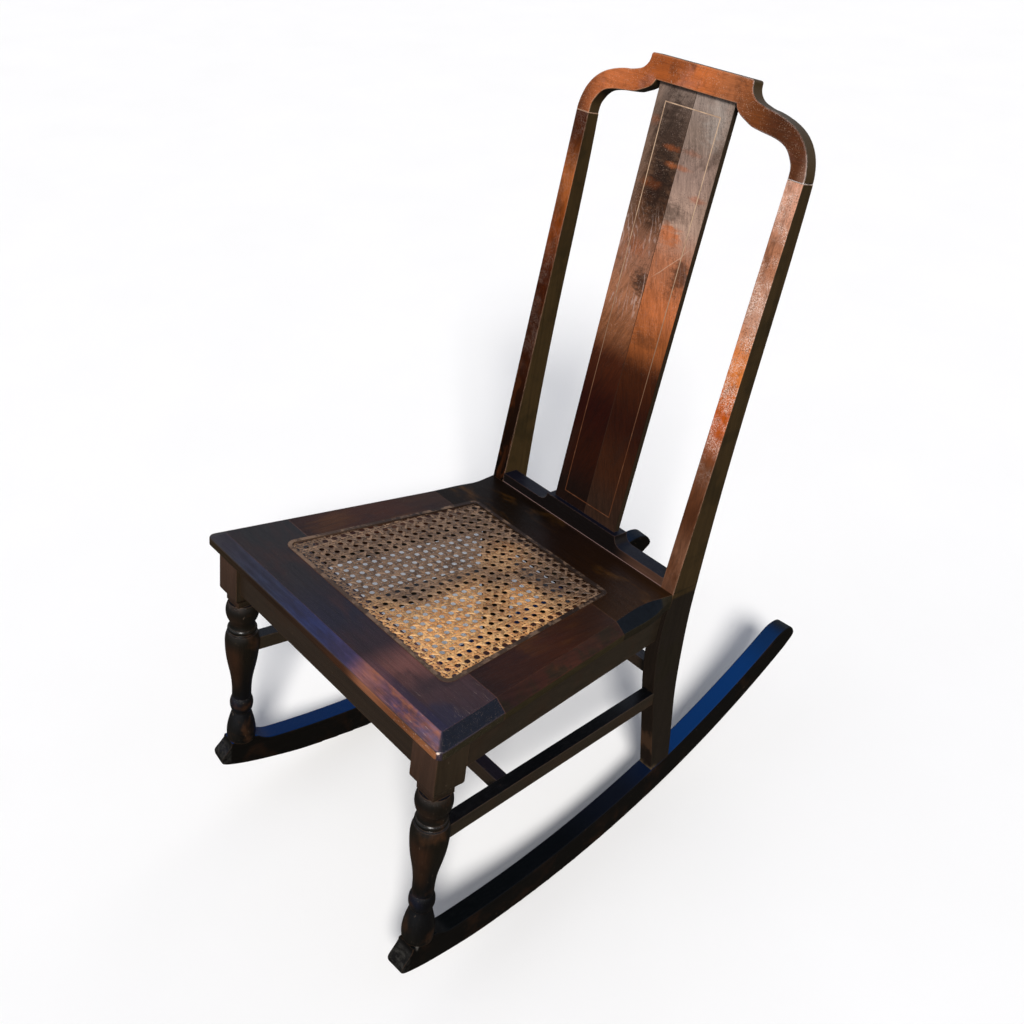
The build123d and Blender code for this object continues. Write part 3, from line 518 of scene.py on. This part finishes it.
def figured_veneer(side, stops, marks_and_shadows):
    """Half of the splat's face. Its grain runs up and out from the middle seam, mirrored."""
    tree = Tree("figured_veneer_" + side)
    height = tree.axis("z")
    # Colours by height: painted shade low down and painted sunlight higher up, over the veneer's own
    # tone.
    colour = tree.ramp(height, BACK_FOOT, SPLAT_TOP, stops)
    # Marks, with painted shadows of leaves among them.
    colour = tree.marks_and_shadows(colour, marks_and_shadows)
    border = tree.smooth(tree.math("ABSOLUTE", tree.axis("x")), 40, 50)
    border = tree.product(border, tree.smooth(height, 640, 700))
    colour = tree.mix(tree.product(border, 0.3), colour, (156, 126, 108))
    straight = tree.place
    turn = VENEER_TURN if side == "left" else -VENEER_TURN
    sockets = {"Vector": straight, "Angle": turn}
    tree.place = tree.node("VectorRotate", sockets, rotation_type="Y_AXIS").outputs[0]
    colour = tree.grain(colour, "z", 0.3)
    tree.place = straight
    strength = 0.1 if side == "left" else 0.5
    colour = tree.mix(tree.product(curved_strokes(tree), strength), colour, (196, 172, 162))
    if side == "left":
        colour = tree.mix(tree.product(scratch(tree), 0.36), colour, (226, 196, 170))
    colour = tree.blotches(colour, (38, 20, 12), (0.035, 0.035, 0.02), 0.5, 0.55, 0.7, 6.0)
    # Pale specks only higher up, in the painted sunlight: specks in the varnish brightened as painted
    # glints.
    dust_and_glints = tree.smooth(height, 500, 580)
    colour = tree.specks(colour, (214, 184, 166), 0.9, 0.4, 0.25, dust_and_glints)
    colour = tree.specks(colour, (30, 18, 12), 0.7, 0.5, 0.4, dust_and_glints, 4.0)
    colour = tree.mix(tree.line("x", 0, 0.5), colour, (52, 34, 24))
    return tree.finish(colour, 0.5, 0.12, bump=0.08)


def splat_edge():
    """The splat's core: dark edges, and a browner rear."""
    tree = Tree("splat_edge")
    edge = tree.mix(tree.noise(0.03), (38, 28, 16), (58, 44, 28))
    colour = tree.mix(tree.facing(BACK, 0.5, 0.8), edge, tree.rest_of_back())
    return tree.finish(tree.grain(colour, "z", 0.35), 0.5, 0.25)


def stringing():
    """A fine inlaid line, paler at the top."""
    tree = Tree("stringing")
    colour = tree.mix(tree.smooth(tree.axis("z"), 420, 780), (84, 46, 24), (204, 172, 142))
    colour = tree.blotches(colour, (120, 84, 60), 0.05, 0.4, 0.5, 0.6)
    return tree.finish(colour, 0.5, 0.2, bump=0.02)


def front_top(tree, across):
    """The top of the seat's front: a cool tint, a warm rubbed place and a blue corner; the cool tint
    and the blue are painted reflection of the sky.
    """
    colour = tree.ramp(across, -FRONT_HALF, FRONT_HALF, FRONT_TOP_COLOURS)
    colour = tree.blotches(colour, (62, 34, 26), (0.012, 0.03, 0.03), 0.5, 0.45, 0.7, 1.7)
    colour = tree.blotches(colour, (22, 18, 26), 0.02, 0.5, 0.5, 0.7, 5.5)
    # A bluer corner and line: painted reflection of the sky.
    blue = tree.blob((192, 0, SEAT_TOP), (26, 22, 20), 0.4, 0.05)
    colour = tree.mix(tree.product(blue, 0.7), colour, (36, 36, 58))
    inner = tree.product(tree.line("y", -10, 7), tree.smooth(across, 60, 120))
    return tree.mix(tree.product(inner, 0.5), colour, (36, 34, 64))


def front_bevel(tree, across):
    """The bevel of the seat's front: violet, which is painted reflection of the sky, with warm patches
    on its near half and dim ones.
    """
    colour = tree.ramp(across, -FRONT_HALF, FRONT_HALF, FRONT_BEVEL_COLOURS)
    patch = tree.smooth(tree.noise((0.035, 0.09, 0.09), 5, 0.7, 3.7, 0.15), 0.38, 0.7)
    colour = tree.mix(tree.product(patch, tree.smooth(across, 60, 110)), colour, (158, 96, 70))
    dim = tree.smooth(tree.noise((0.03, 0.12, 0.12), 5, 0.65, 6.1), 0.36, 0.68)
    return tree.mix(tree.product(dim, 0.55), colour, (36, 30, 40))


def front_wear(tree, colour, across, nosing):
    """Pale specks and scratches towards the seat's near corner, and a chip on the corner."""
    near = tree.smooth(across, 100, 215)
    colour = tree.specks(colour, BARE_WOOD, 0.5, 0.3, 0.75, tree.product(near, nosing))
    scratches = tree.smooth(tree.noise((0.05, 1.6, 1.6), 3, 0.6, 2.2, 1.5), 0.66, 0.7)
    colour = tree.mix(tree.product(scratches, near, 0.5), colour, BARE_WOOD)
    chip = tree.blob((218, -28.5, 294), (2.0, 2.0, 1.4), 0.2, 0.6)
    return tree.mix(chip, colour, BARE_WOOD)


def front_board():
    """The front of the seat: a cool painted reflection of the sky on its top and bevel, and a rubbed
    ochre nosing.
    """
    tree = Tree("seat_varnish_front")
    across = tree.axis("x")
    colour = front_top(tree, across)
    colour = tree.mix(tree.sloping(FRONT_BEVEL), colour, front_bevel(tree, across))
    # The dark navy near bevel: painted reflection of the sky.
    colour = tree.mix(tree.sloping(NEAR_BEVEL), colour, (16, 20, 32))
    nosing = tree.flat_on(SEAT_FRONT)
    nose_colour = tree.ramp(across, -FRONT_HALF, FRONT_HALF, FRONT_NOSING_COLOURS)
    colour = tree.mix(nosing, colour, nose_colour)
    # The olive face towards the near side: painted shade.
    colour = tree.mix(tree.flat_on((1, 0, 0)), colour, (48, 42, 26))
    colour = tree.grain(colour, "x", 0.3)
    colour = front_wear(tree, colour, across, nosing)
    colour = tree.worn_edges(colour, (128, 84, 76), 0.7)
    return tree.finish(colour, 0.34, 0.35, coat=0.1)


def side_bevel(sign):
    """The direction that the seat's bevel faces on one side, 1 for the left and -1 for the right."""
    return (sign * NEAR_BEVEL[0], *NEAR_BEVEL[1:])


def side_board(side):
    """A side of the seat, reddish brown, browner at its bevel, and olive at its nosing, which is
    painted shade.
    """
    tree = Tree("seat_varnish_side_" + side)
    colour = tree.ramp(tree.axis("y"), 40, 300, [
        (40, (38, 24, 22)), (110, (54, 27, 18)), (170, (60, 30, 18)), (240, (48, 27, 18)),
        (300, (40, 24, 16)),
    ])
    colour = tree.blotches(colour, (84, 50, 18), (0.03, 0.012, 0.03), 0.5, 0.5, 0.7, 1.7)
    colour = tree.blotches(colour, (30, 18, 22), 0.02, 0.5, 0.5, 0.7, 5.5)
    sign = 1 if side == "left" else -1
    bevel = tree.sloping(side_bevel(sign))
    colour = tree.mix(bevel, colour, tree.blotches(colour, (36, 28, 14), 0.03, 0.8, 0.4, 0.6))
    # The olive outer face: painted shade.
    colour = tree.mix(tree.flat_on((sign, 0, 0)), colour, (52, 44, 26))
    colour = tree.grain(colour, "y", 0.28)
    colour = tree.worn_edges(colour, SEAT_WEAR, 0.5)
    return tree.finish(colour, 0.34, 0.22, coat=0.04)


def rear_board():
    """The back of the seat, with golden patches; its faces but the top olive as painted shade, its
    bevels navy as painted reflection of the sky.
    """
    tree = Tree("seat_varnish_rear")
    colour = tree.ramp(tree.axis("x"), -180, 180, [
        (-180, (20, 12, 7)), (-60, (18, 9, 3)), (0, (28, 15, 9)), (60, (32, 17, 8)),
        (180, (46, 27, 11)),
    ])
    colour = tree.blotches(colour, (96, 62, 20), (0.012, 0.03, 0.03), 0.45, 0.52, 0.72, 2.9)
    # Faces other than the top take olive: painted shade.
    colour = tree.mix(tree.facing(UP, 0.9, 0.97), (38, 33, 23), colour)
    # Navy bevels: painted reflection of the sky.
    for sign in (1, -1):
        bevel = tree.facing(side_bevel(sign), 0.9, 0.96)
        colour = tree.mix(bevel, colour, (15, 20, 26))
    colour = tree.grain(colour, "x", 0.28)
    colour = tree.worn_edges(colour, SEAT_WEAR, 0.4)
    return tree.finish(colour, 0.36, 0.12, coat=0.02)


def shoe_varnish():
    """Dark, with a rubbed olive end on the near side, a navy top that is painted reflection of the
    sky, and a pale line along its foot.
    """
    tree = Tree("shoe_varnish")
    near = tree.smooth(tree.axis("x"), 60, 110)
    colour = tree.mix(near, (18, 13, 12), (86, 60, 48))
    # The navy top: painted reflection of the sky.
    colour = tree.mix(tree.facing(UP, 0.7, 0.95), colour, (12, 14, 26))
    colour = tree.grain(colour, "x", 0.22)
    foot = tree.smooth(tree.axis("z"), SEAT_TOP + 1.1, SEAT_TOP + 0.5)
    colour = tree.mix(tree.product(foot, 0.7), colour, (158, 128, 124))
    colour = tree.worn_edges(colour, (110, 84, 74), 0.4)
    return tree.finish(colour, 0.36, 0.2, coat=0.04)


def leg_varnish(name, along, base, warm, top):
    """Nearly black varnish: warmer on the front faces, which is painted light, with a blue tint on the
    tops that is painted reflection of the sky.
    """
    tree = Tree("leg_varnish_" + name)
    # Warmer front faces: painted light.
    colour = tree.mix(tree.facing(LEG_FRONT, 0.3, 0.9), base, warm)
    colour = tree.blotches(colour, (62, 38, 22), 0.02, 0.3, 0.48, 0.7, 3.3)
    # Tops tinted blue: painted reflection of the sky.
    colour = tree.mix(tree.facing(UP, 0.75, 0.93), colour, top)
    colour = tree.grain(colour, along, 0.25)
    colour = tree.specks(colour, (110, 88, 70), 0.3, 0.06, 0.6)
    return tree, tree.worn_edges(colour, LEG_WEAR, 0.5)


def plain_leg_varnish(*settings):
    """The legs' varnish with nothing more on it."""
    tree, colour = leg_varnish(*settings)
    return tree.finish(colour, 0.32, 0.4, coat=0.15)


def rocker_varnish():
    """Blue on the tops behind the rear legs, painted reflection of the sky; a rough worn patch on the
    nose and a chalky scuff by the pad.
    """
    tree, colour = leg_varnish("rockers", "y", (13, 11, 9), (15, 14, 13), (4, 6, 8))
    back = tree.axis("y")
    tops = tree.facing(UP, 0.6, 0.9)
    near = tree.ramp(back, 0, ROCKER_REACH, NEAR_ROCKER_PAINTED_SKY)
    far = tree.ramp(back, 0, ROCKER_REACH, FAR_ROCKER_PAINTED_SKY)
    # The tops take the blue: painted reflection of the sky.
    painted_sky_reflection = tree.mix(tree.smooth(tree.axis("x"), -20, 20), far, near)
    colour = tree.mix(tops, colour, painted_sky_reflection)
    nose = tree.product(tree.smooth(back, -17, -21), tree.smooth(tree.axis("z"), -33, -27))
    rough = tree.smooth(tree.noise((0.14, 0.25, 0.25), 5, 0.7, 2.0), 0.42, 0.58)
    patch = tree.product(nose, rough)
    colour = tree.mix(tree.product(patch, 0.5), colour, (58, 56, 52))
    scuff = tree.blob((203, -10, 10), (8, 3, 16), 0.3, 0.15)
    colour = tree.mix(tree.product(scuff, 0.5), colour, (120, 116, 110))
    tree.height = tree.math("ADD", tree.height, tree.product(patch, 12))
    return tree.finish(colour, 0.4, 0.12, coat=0.03)


def front_leg_varnish():
    """A brown block above a turning that is nearly black, but for a warm patch on its vase; fronts
    painted lit, sides painted shaded, tops tinted as painted reflection of the sky.
    """
    tree = Tree("leg_varnish_front")
    height = tree.axis("z")
    front = tree.ramp(height, 0, LEG_TOP, FRONT_LEG_PAINTED_LIT_FRONTS)
    side = tree.ramp(height, 0, LEG_TOP, FRONT_LEG_PAINTED_SHADE_SIDES)
    # Fronts lighter as painted light, sides darker as painted shade.
    colour = tree.mix(tree.facing(LEG_FRONT, 0.3, 0.9), side, front)
    colour = tree.blotches(colour, (72, 46, 28), 0.03, 0.5, 0.52, 0.7, 3.3)
    # Tops tinted blue-grey: painted reflection of the sky.
    colour = tree.mix(tree.facing(UP, 0.75, 0.93), colour, (14, 16, 22))
    colour = tree.grain(colour, "z", 0.25)
    colour = tree.specks(colour, (130, 112, 96), 0.3, 0.1, 0.6)
    colour = tree.worn_edges(colour, LEG_WEAR, 0.5)
    return tree.finish(colour, 0.3, 0.3, coat=0.12)


def woven_cane_finish():
    """Split cane: golden to the near side, greyer in the middle and to the far side."""
    tree = Tree("woven_cane")
    tone = tree.node("Attribute", attribute_name="tone").outputs["Fac"]
    along = tree.node("Attribute", attribute_name="along").outputs["Fac"]
    gold = tree.mix(tone, (196, 134, 78), (236, 184, 122))
    grey = tree.mix(tone, (76, 56, 42), (138, 110, 87))
    wander = tree.product(tree.math("SUBTRACT", tree.noise(0.014, 2, 0.5, 4.0), 0.5), 200)
    slant = tree.product(tree.axis("y"), -0.4)
    place = tree.math("ADD", tree.math("ADD", tree.axis("x"), slant), wander)
    golden = tree.smooth(place, -80, 70)
    # One paler patch at the back of the middle, and one duller at the back of the near side.
    pale_patch = tree.blob((0, 240, SEAT_TOP), (34, 34, FLAT), 0.4, 0.03, 1.2)
    dull_patch = tree.blob((112, 262, SEAT_TOP), (44, 36, FLAT), 0.4, 0.03, 1.2)
    golden = tree.math("ADD", golden, tree.product(pale_patch, 0.35))
    golden = tree.math("SUBTRACT", golden, tree.product(dull_patch, 0.4))
    colour = tree.mix(golden, grey, gold)
    vector = {0: tree.product(along, 0.05), 1: tree.product(tone, 50)}
    sockets = {"Vector": tree.node("CombineXYZ", vector).outputs[0], "Scale": 1.0, "Detail": 4}
    fibre = tree.node("TexNoise", sockets).outputs[0]
    colour = tree.shade(colour, tree.smooth(fibre, 0.3, 0.6), 0.5)
    colour = tree.blotches(colour, (86, 58, 34), 0.3, 0.55, 0.52, 0.68)
    return tree.finish(colour, 0.42, 0.5, bump=0.05)


def spline_finish():
    """A reed wedged in the groove: dark varnish rubbed off along its crown."""
    tree = Tree("spline_reed")
    front = tree.smooth(tree.axis("y"), 220, 50)
    colour = tree.mix(front, (44, 32, 26), (80, 62, 50))
    colour = tree.shade(colour, tree.noise(0.3, 4, 0.7), 0.5)
    crown = tree.smooth(tree.axis("z"), SEAT_TOP + 0.35, SEAT_TOP + 0.6)
    worn = tree.product(crown, tree.smooth(tree.noise(0.05, 5, 0.7, 3.0), 0.48, 0.6))
    colour = tree.mix(tree.product(worn, 0.5), colour, (142, 114, 92))
    return tree.finish(colour, 0.45, 0.3, bump=0.1)


def dowel_birch():
    """The dowels inside the joints."""
    tree = Tree("dowel_birch")
    colour = tree.mix(tree.noise(0.1), (196, 160, 112), (222, 190, 144))
    return tree.finish(tree.grain(colour, "y", 0.2), 0.6, 0.3)


class Ribbons:
    """Gathers strands into one mesh. Each strand has a tone, and its length runs in 'along'."""

    def __init__(self):
        self.points, self.faces, self.tone, self.along = [], [], [], []

    def add(self, line, width, thickness, tone):
        """A strand with a flat underside and a domed top, along a line of chair-frame points."""
        profile = [(-0.5, -0.5), (-0.5, 0.1), (-0.25, 0.5), (0.25, 0.5), (0.5, 0.1), (0.5, -0.5)]
        count, first = len(profile), len(self.points)
        heading = (line[-1] - line[0]).normalized()
        across = Vector((heading.y, -heading.x, 0))
        for point in line:
            for side, up in profile:
                place = point + across * (side * width) + Vector((0, 0, up * thickness))
                self.points.append(CHAIR @ (place * MM))
                self.tone.append(tone)
                self.along.append((point - line[0]).length)
        for i in range(len(line) - 1):
            ring, after = first + i * count, first + (i + 1) * count
            for k in range(count):
                j = (k + 1) % count
                self.faces.append((ring + k, ring + j, after + j, after + k))
        last = first + (len(line) - 1) * count
        self.faces.append(tuple(first + k for k in reversed(range(count))))
        self.faces.append(tuple(last + k for k in range(count)))

    def object(self, name):
        mesh = bpy.data.meshes.new(name)
        mesh.from_pydata(self.points, [], self.faces)
        for key, values in (("tone", self.tone), ("along", self.along)):
            mesh.attributes.new(key, "FLOAT", "POINT").data.foreach_set("value", values)
        mesh.shade_smooth()
        made = bpy.data.objects.new(name, mesh)
        bpy.context.scene.collection.objects.link(made)
        return made


def cane_outline():
    """The cane sheet's outline in the seat's plane, from the CAD node, in millimetres."""
    to_chair = CHAIR.inverted()
    vertices = frame["nodes"]["cane_panel"].data.vertices
    places = [(to_chair @ v.co).to_2d() / MM for v in vertices]
    return [places[i] for i in convex_hull_2d(places)]


def edge_distance(outline, point):
    """How far a point is inside a convex outline that runs counter-clockwise."""
    far = []
    for a, b in zip(outline, outline[1:] + outline[:1]):
        edge = (b - a).normalized()
        far.append(edge.x * (point.y - a.y) - edge.y * (point.x - a.x))
    return min(far)


def clipped(outline, start, heading):
    """Where a line enters and leaves a convex outline, as lengths from start."""
    enter, leave = -1e3, 1e3
    for a, b in zip(outline, outline[1:] + outline[:1]):
        edge = (b - a).normalized()
        inside = edge.x * (start.y - a.y) - edge.y * (start.x - a.x)
        rate = edge.x * heading.y - edge.y * heading.x
        if abs(rate) < 1e-9:
            if inside < 0:
                return 0, 0
        elif rate > 0:
            enter = max(enter, -inside / rate)
        else:
            leave = min(leave, -inside / rate)
    return enter, leave


def cane_height(outline, point):
    """The sheet's height: flat on its ledge, sagging inside it, and tucked down at its edge."""
    inside = edge_distance(outline, point)
    drop = CANE_EDGE_DROP * max(0, 1 - inside / CANE_EDGE_WIDTH) ** 2
    free = max(0, min(1, (inside - LEDGE_WIDTH) / SAG_WIDTH))
    return CANE_LEVEL - drop - CANE_SAG * (1 - (1 - free) ** 2)


def add_strand(ribbons, outline, knots, width, tone):
    """Adds one strand through knots, which are (place in holes across, in holes back, lift)."""
    places = []
    for u, v, lift in knots:
        places.append(Vector((CANE_HOLE_X + u * CANE_PITCH_X, CANE_HOLE_Y + v * CANE_PITCH_Y)))
    start, heading = places[0], (places[-1] - places[0]).normalized()
    enter, leave = clipped(outline, start, heading)
    enter, leave = enter - CANE_REACH, leave + CANE_REACH
    if leave - enter < SHORTEST_STRAND:
        return
    first, last = enter + KNOT_MARGIN, leave - KNOT_MARGIN
    ways = [((place - start).length, knot[2]) for place, knot in zip(places, knots)]
    inner = [(way, lift) for way, lift in ways if first < way < last]
    line = []
    for way, lift in [(enter, 0)] + inner + [(leave, 0)]:
        point = start + heading * way
        line.append(Vector((point.x, point.y, cane_height(outline, point) + lift)))
    ribbons.add(line, width, STRAND_THICKNESS, tone)


def straight_knots(place, side):
    """A strand along the seat: over one strand of each crossing pair and under the other."""
    knots = []
    for cell in CELLS:
        for k, other in enumerate(STRAND_PAIR):
            lift = WEAVE_HEIGHT if (k + side) % 2 else -WEAVE_HEIGHT
            knots.append((place, cell + other, lift))
        knots.append((place, cell + 1, 0))
    return knots


def diagonal_knots(row, slope, phase):
    """A diagonal strand, over and under in turn. Its slope is 1 or -1."""
    knots = []
    for q in QUARTERS:
        lift = DIAGONAL_LIFTS[(q + phase) % 4]
        knots.append((q / 4, slope * q / 4 + row + HALF_CELL, lift))
    return knots


def woven_cane():
    """The six-way weave: pairs of strands both ways, and diagonals that cut the holes' corners."""
    outline = cane_outline()
    ribbons = Ribbons()
    draw = random.Random(WEAVE_SEED)
    for cell in CELLS:
        for side, offset in enumerate(STRAND_PAIR):
            upright = straight_knots(cell + offset, side)
            level = [(v, u, -lift) for u, v, lift in upright]
            add_strand(ribbons, outline, upright, STRAND_WIDTH, draw.random())
            add_strand(ribbons, outline, level, STRAND_WIDTH, draw.random())
    for row in DIAGONALS:
        for slope, phase in ((1, 0), (-1, 2)):
            knots = diagonal_knots(row, slope, phase)
            add_strand(ribbons, outline, knots, DIAGONAL_WIDTH, draw.random())
    return ribbons.object("woven_cane")


def paint(finish, *names):
    """Gives CAD nodes their material."""
    for name in names:
        data = frame["nodes"][name].data
        data.materials.clear()
        data.materials.append(finish)


def paint_frame():
    """Paints the wooden pieces and the reed round the cane."""
    paint(crest_varnish(), "crest_rail")
    paint(post_varnish("left", NEAR_POST, 0.75, 0.15), "rear_post_left")
    paint(post_varnish("right", FAR_POST, 0.08, 0.06), "rear_post_right")
    paint(figured_veneer("left", NEAR_VENEER, NEAR_MARKS_AND_SHADOWS), "splat_veneer_left")
    paint(figured_veneer("right", FAR_VENEER, FAR_MARKS_AND_SHADOWS), "splat_veneer_right")
    paint(splat_edge(), "splat")
    paint(stringing(), "splat_stringing")
    paint(front_board(), "seat_front_board")
    paint(rear_board(), "seat_rear_board")
    paint(side_board("left"), "seat_side_board_left")
    paint(side_board("right"), "seat_side_board_right")
    paint(shoe_varnish(), "shoe_rail")
    paint(front_leg_varnish(), "front_leg_left", "front_leg_right")
    paint(rocker_varnish(), "rocker_left", "rocker_right")
    # Base colour, a front colour painted lit, and a top colour tinted as painted reflection of the
    # sky.
    along = plain_leg_varnish("side_pieces", "y", (46, 38, 28), (44, 36, 27), (5, 6, 9))
    paint(along, "side_apron_left", "side_apron_right")
    paint(along, "side_stretcher_left", "side_stretcher_right")
    # Base colour, a lighter front colour painted lit, and a top colour tinted as painted reflection of
    # the sky.
    across = plain_leg_varnish("cross_pieces", "x", (28, 23, 17), (50, 39, 30), (24, 20, 30))
    paint(across, "front_apron", "rear_apron", "medial_stretcher", "rear_stretcher")
    paint(spline_finish(), "cane_spline")
    paint(dowel_birch(), "rear_leg_dowels", "crest_dowels", "seat_board_dowels")


def place_cane():
    """The woven sheet stands for the plain one."""
    cane = woven_cane()
    cane.data.materials.append(woven_cane_finish())
    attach(cane, "root")
    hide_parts("cane_panel")


def floor_finish():
    """A matt pale floor, hardly uneven."""
    tree = Tree("floor")
    shader = tree.node("BsdfPrincipled")
    colour = tree.mix(tree.noise(0.004, 3), (244, 243, 241), (248, 247, 246))
    tree.tree.links.new(colour, shader.inputs["Base Color"])
    shader.inputs["Roughness"].default_value = 0.9
    shader.inputs["Specular IOR Level"].default_value = 0.1
    return tree.surface(shader)


def add_floor():
    """A plain pale floor. It lights nothing and isn't mirrored, so the dark varnish stays dark."""
    side = (-FLOOR_HALF, FLOOR_HALF)
    mesh = bpy.data.meshes.new("floor")
    mesh.from_pydata([(x, y, 0) for y in side for x in side], [], [(0, 1, 3, 2)])
    mesh.materials.append(floor_finish())
    floor = bpy.data.objects.new("floor", mesh)
    bpy.context.scene.collection.objects.link(floor)
    floor.visible_glossy = False
    floor.visible_diffuse = False


def add_lamp(name, direction, strength, spread, colour, mirrored):
    """A soft light from far away, from a direction in the frame of the CAD."""
    light = bpy.data.lights.new(name, "SUN")
    light.energy = strength
    light.angle = spread
    light.color = colour
    lamp = bpy.data.objects.new(name, light)
    lamp.visible_glossy = mirrored
    lamp.rotation_mode = "QUATERNION"
    lamp.rotation_quaternion = Vector(direction).to_track_quat("Z", "Y")
    bpy.context.scene.collection.objects.link(lamp)


def add_sky(nodes, links):
    """The sky's colour by height, as a background shader."""
    direction = nodes.new("ShaderNodeTexCoord").outputs["Generated"]
    split = nodes.new("ShaderNodeSeparateXYZ")
    links.new(direction, split.inputs[0])
    rise = nodes.new("ShaderNodeMapRange")
    rise.inputs["From Min"].default_value = -1
    links.new(split.outputs["Z"], rise.inputs["Value"])
    ramp = nodes.new("ShaderNodeValToRGB")
    set_stops(ramp.color_ramp, [((height + 1) / 2, (*colour, 1)) for height, colour in SKY])
    links.new(rise.outputs[0], ramp.inputs[0])
    sky = nodes.new("ShaderNodeBackground")
    links.new(ramp.outputs[0], sky.inputs["Color"])
    return sky


def add_world():
    """Soft light from all round: cool from above, dark from below, and a pale backdrop."""
    world = bpy.data.worlds.new("studio")
    bpy.context.scene.world = world
    world.use_nodes = True
    nodes, links = world.node_tree.nodes, world.node_tree.links
    nodes.clear()
    backdrop = nodes.new("ShaderNodeBackground")
    backdrop.inputs["Color"].default_value = BACKDROP
    seen = nodes.new("ShaderNodeLightPath").outputs["Is Camera Ray"]
    choose = nodes.new("ShaderNodeMixShader")
    links.new(seen, choose.inputs[0])
    links.new(add_sky(nodes, links).outputs[0], choose.inputs[1])
    links.new(backdrop.outputs[0], choose.inputs[2])
    end = nodes.new("ShaderNodeOutputWorld")
    links.new(choose.outputs[0], end.inputs[0])


def add_camera():
    """The camera at the photo's angle."""
    data = bpy.data.cameras.new("camera")
    data.sensor_width = SENSOR_WIDTH
    data.lens = CAMERA_LENS
    data.clip_start, data.clip_end = 0.01, 100
    camera = bpy.data.objects.new("camera", data)
    right, up = Vector(CAMERA_RIGHT), Vector(CAMERA_UP)
    turn = Matrix((right, up, right.cross(up))).transposed()
    camera.matrix_world = Matrix.Translation(CAMERA_PLACE) @ turn.to_4x4()
    bpy.context.scene.collection.objects.link(camera)
    bpy.context.scene.camera = camera


paint_frame()
place_cane()
add_floor()
add_world()
for lamp in LAMPS:
    add_lamp(*lamp)
add_camera()
bpy.context.scene.view_settings.view_transform = "Standard"
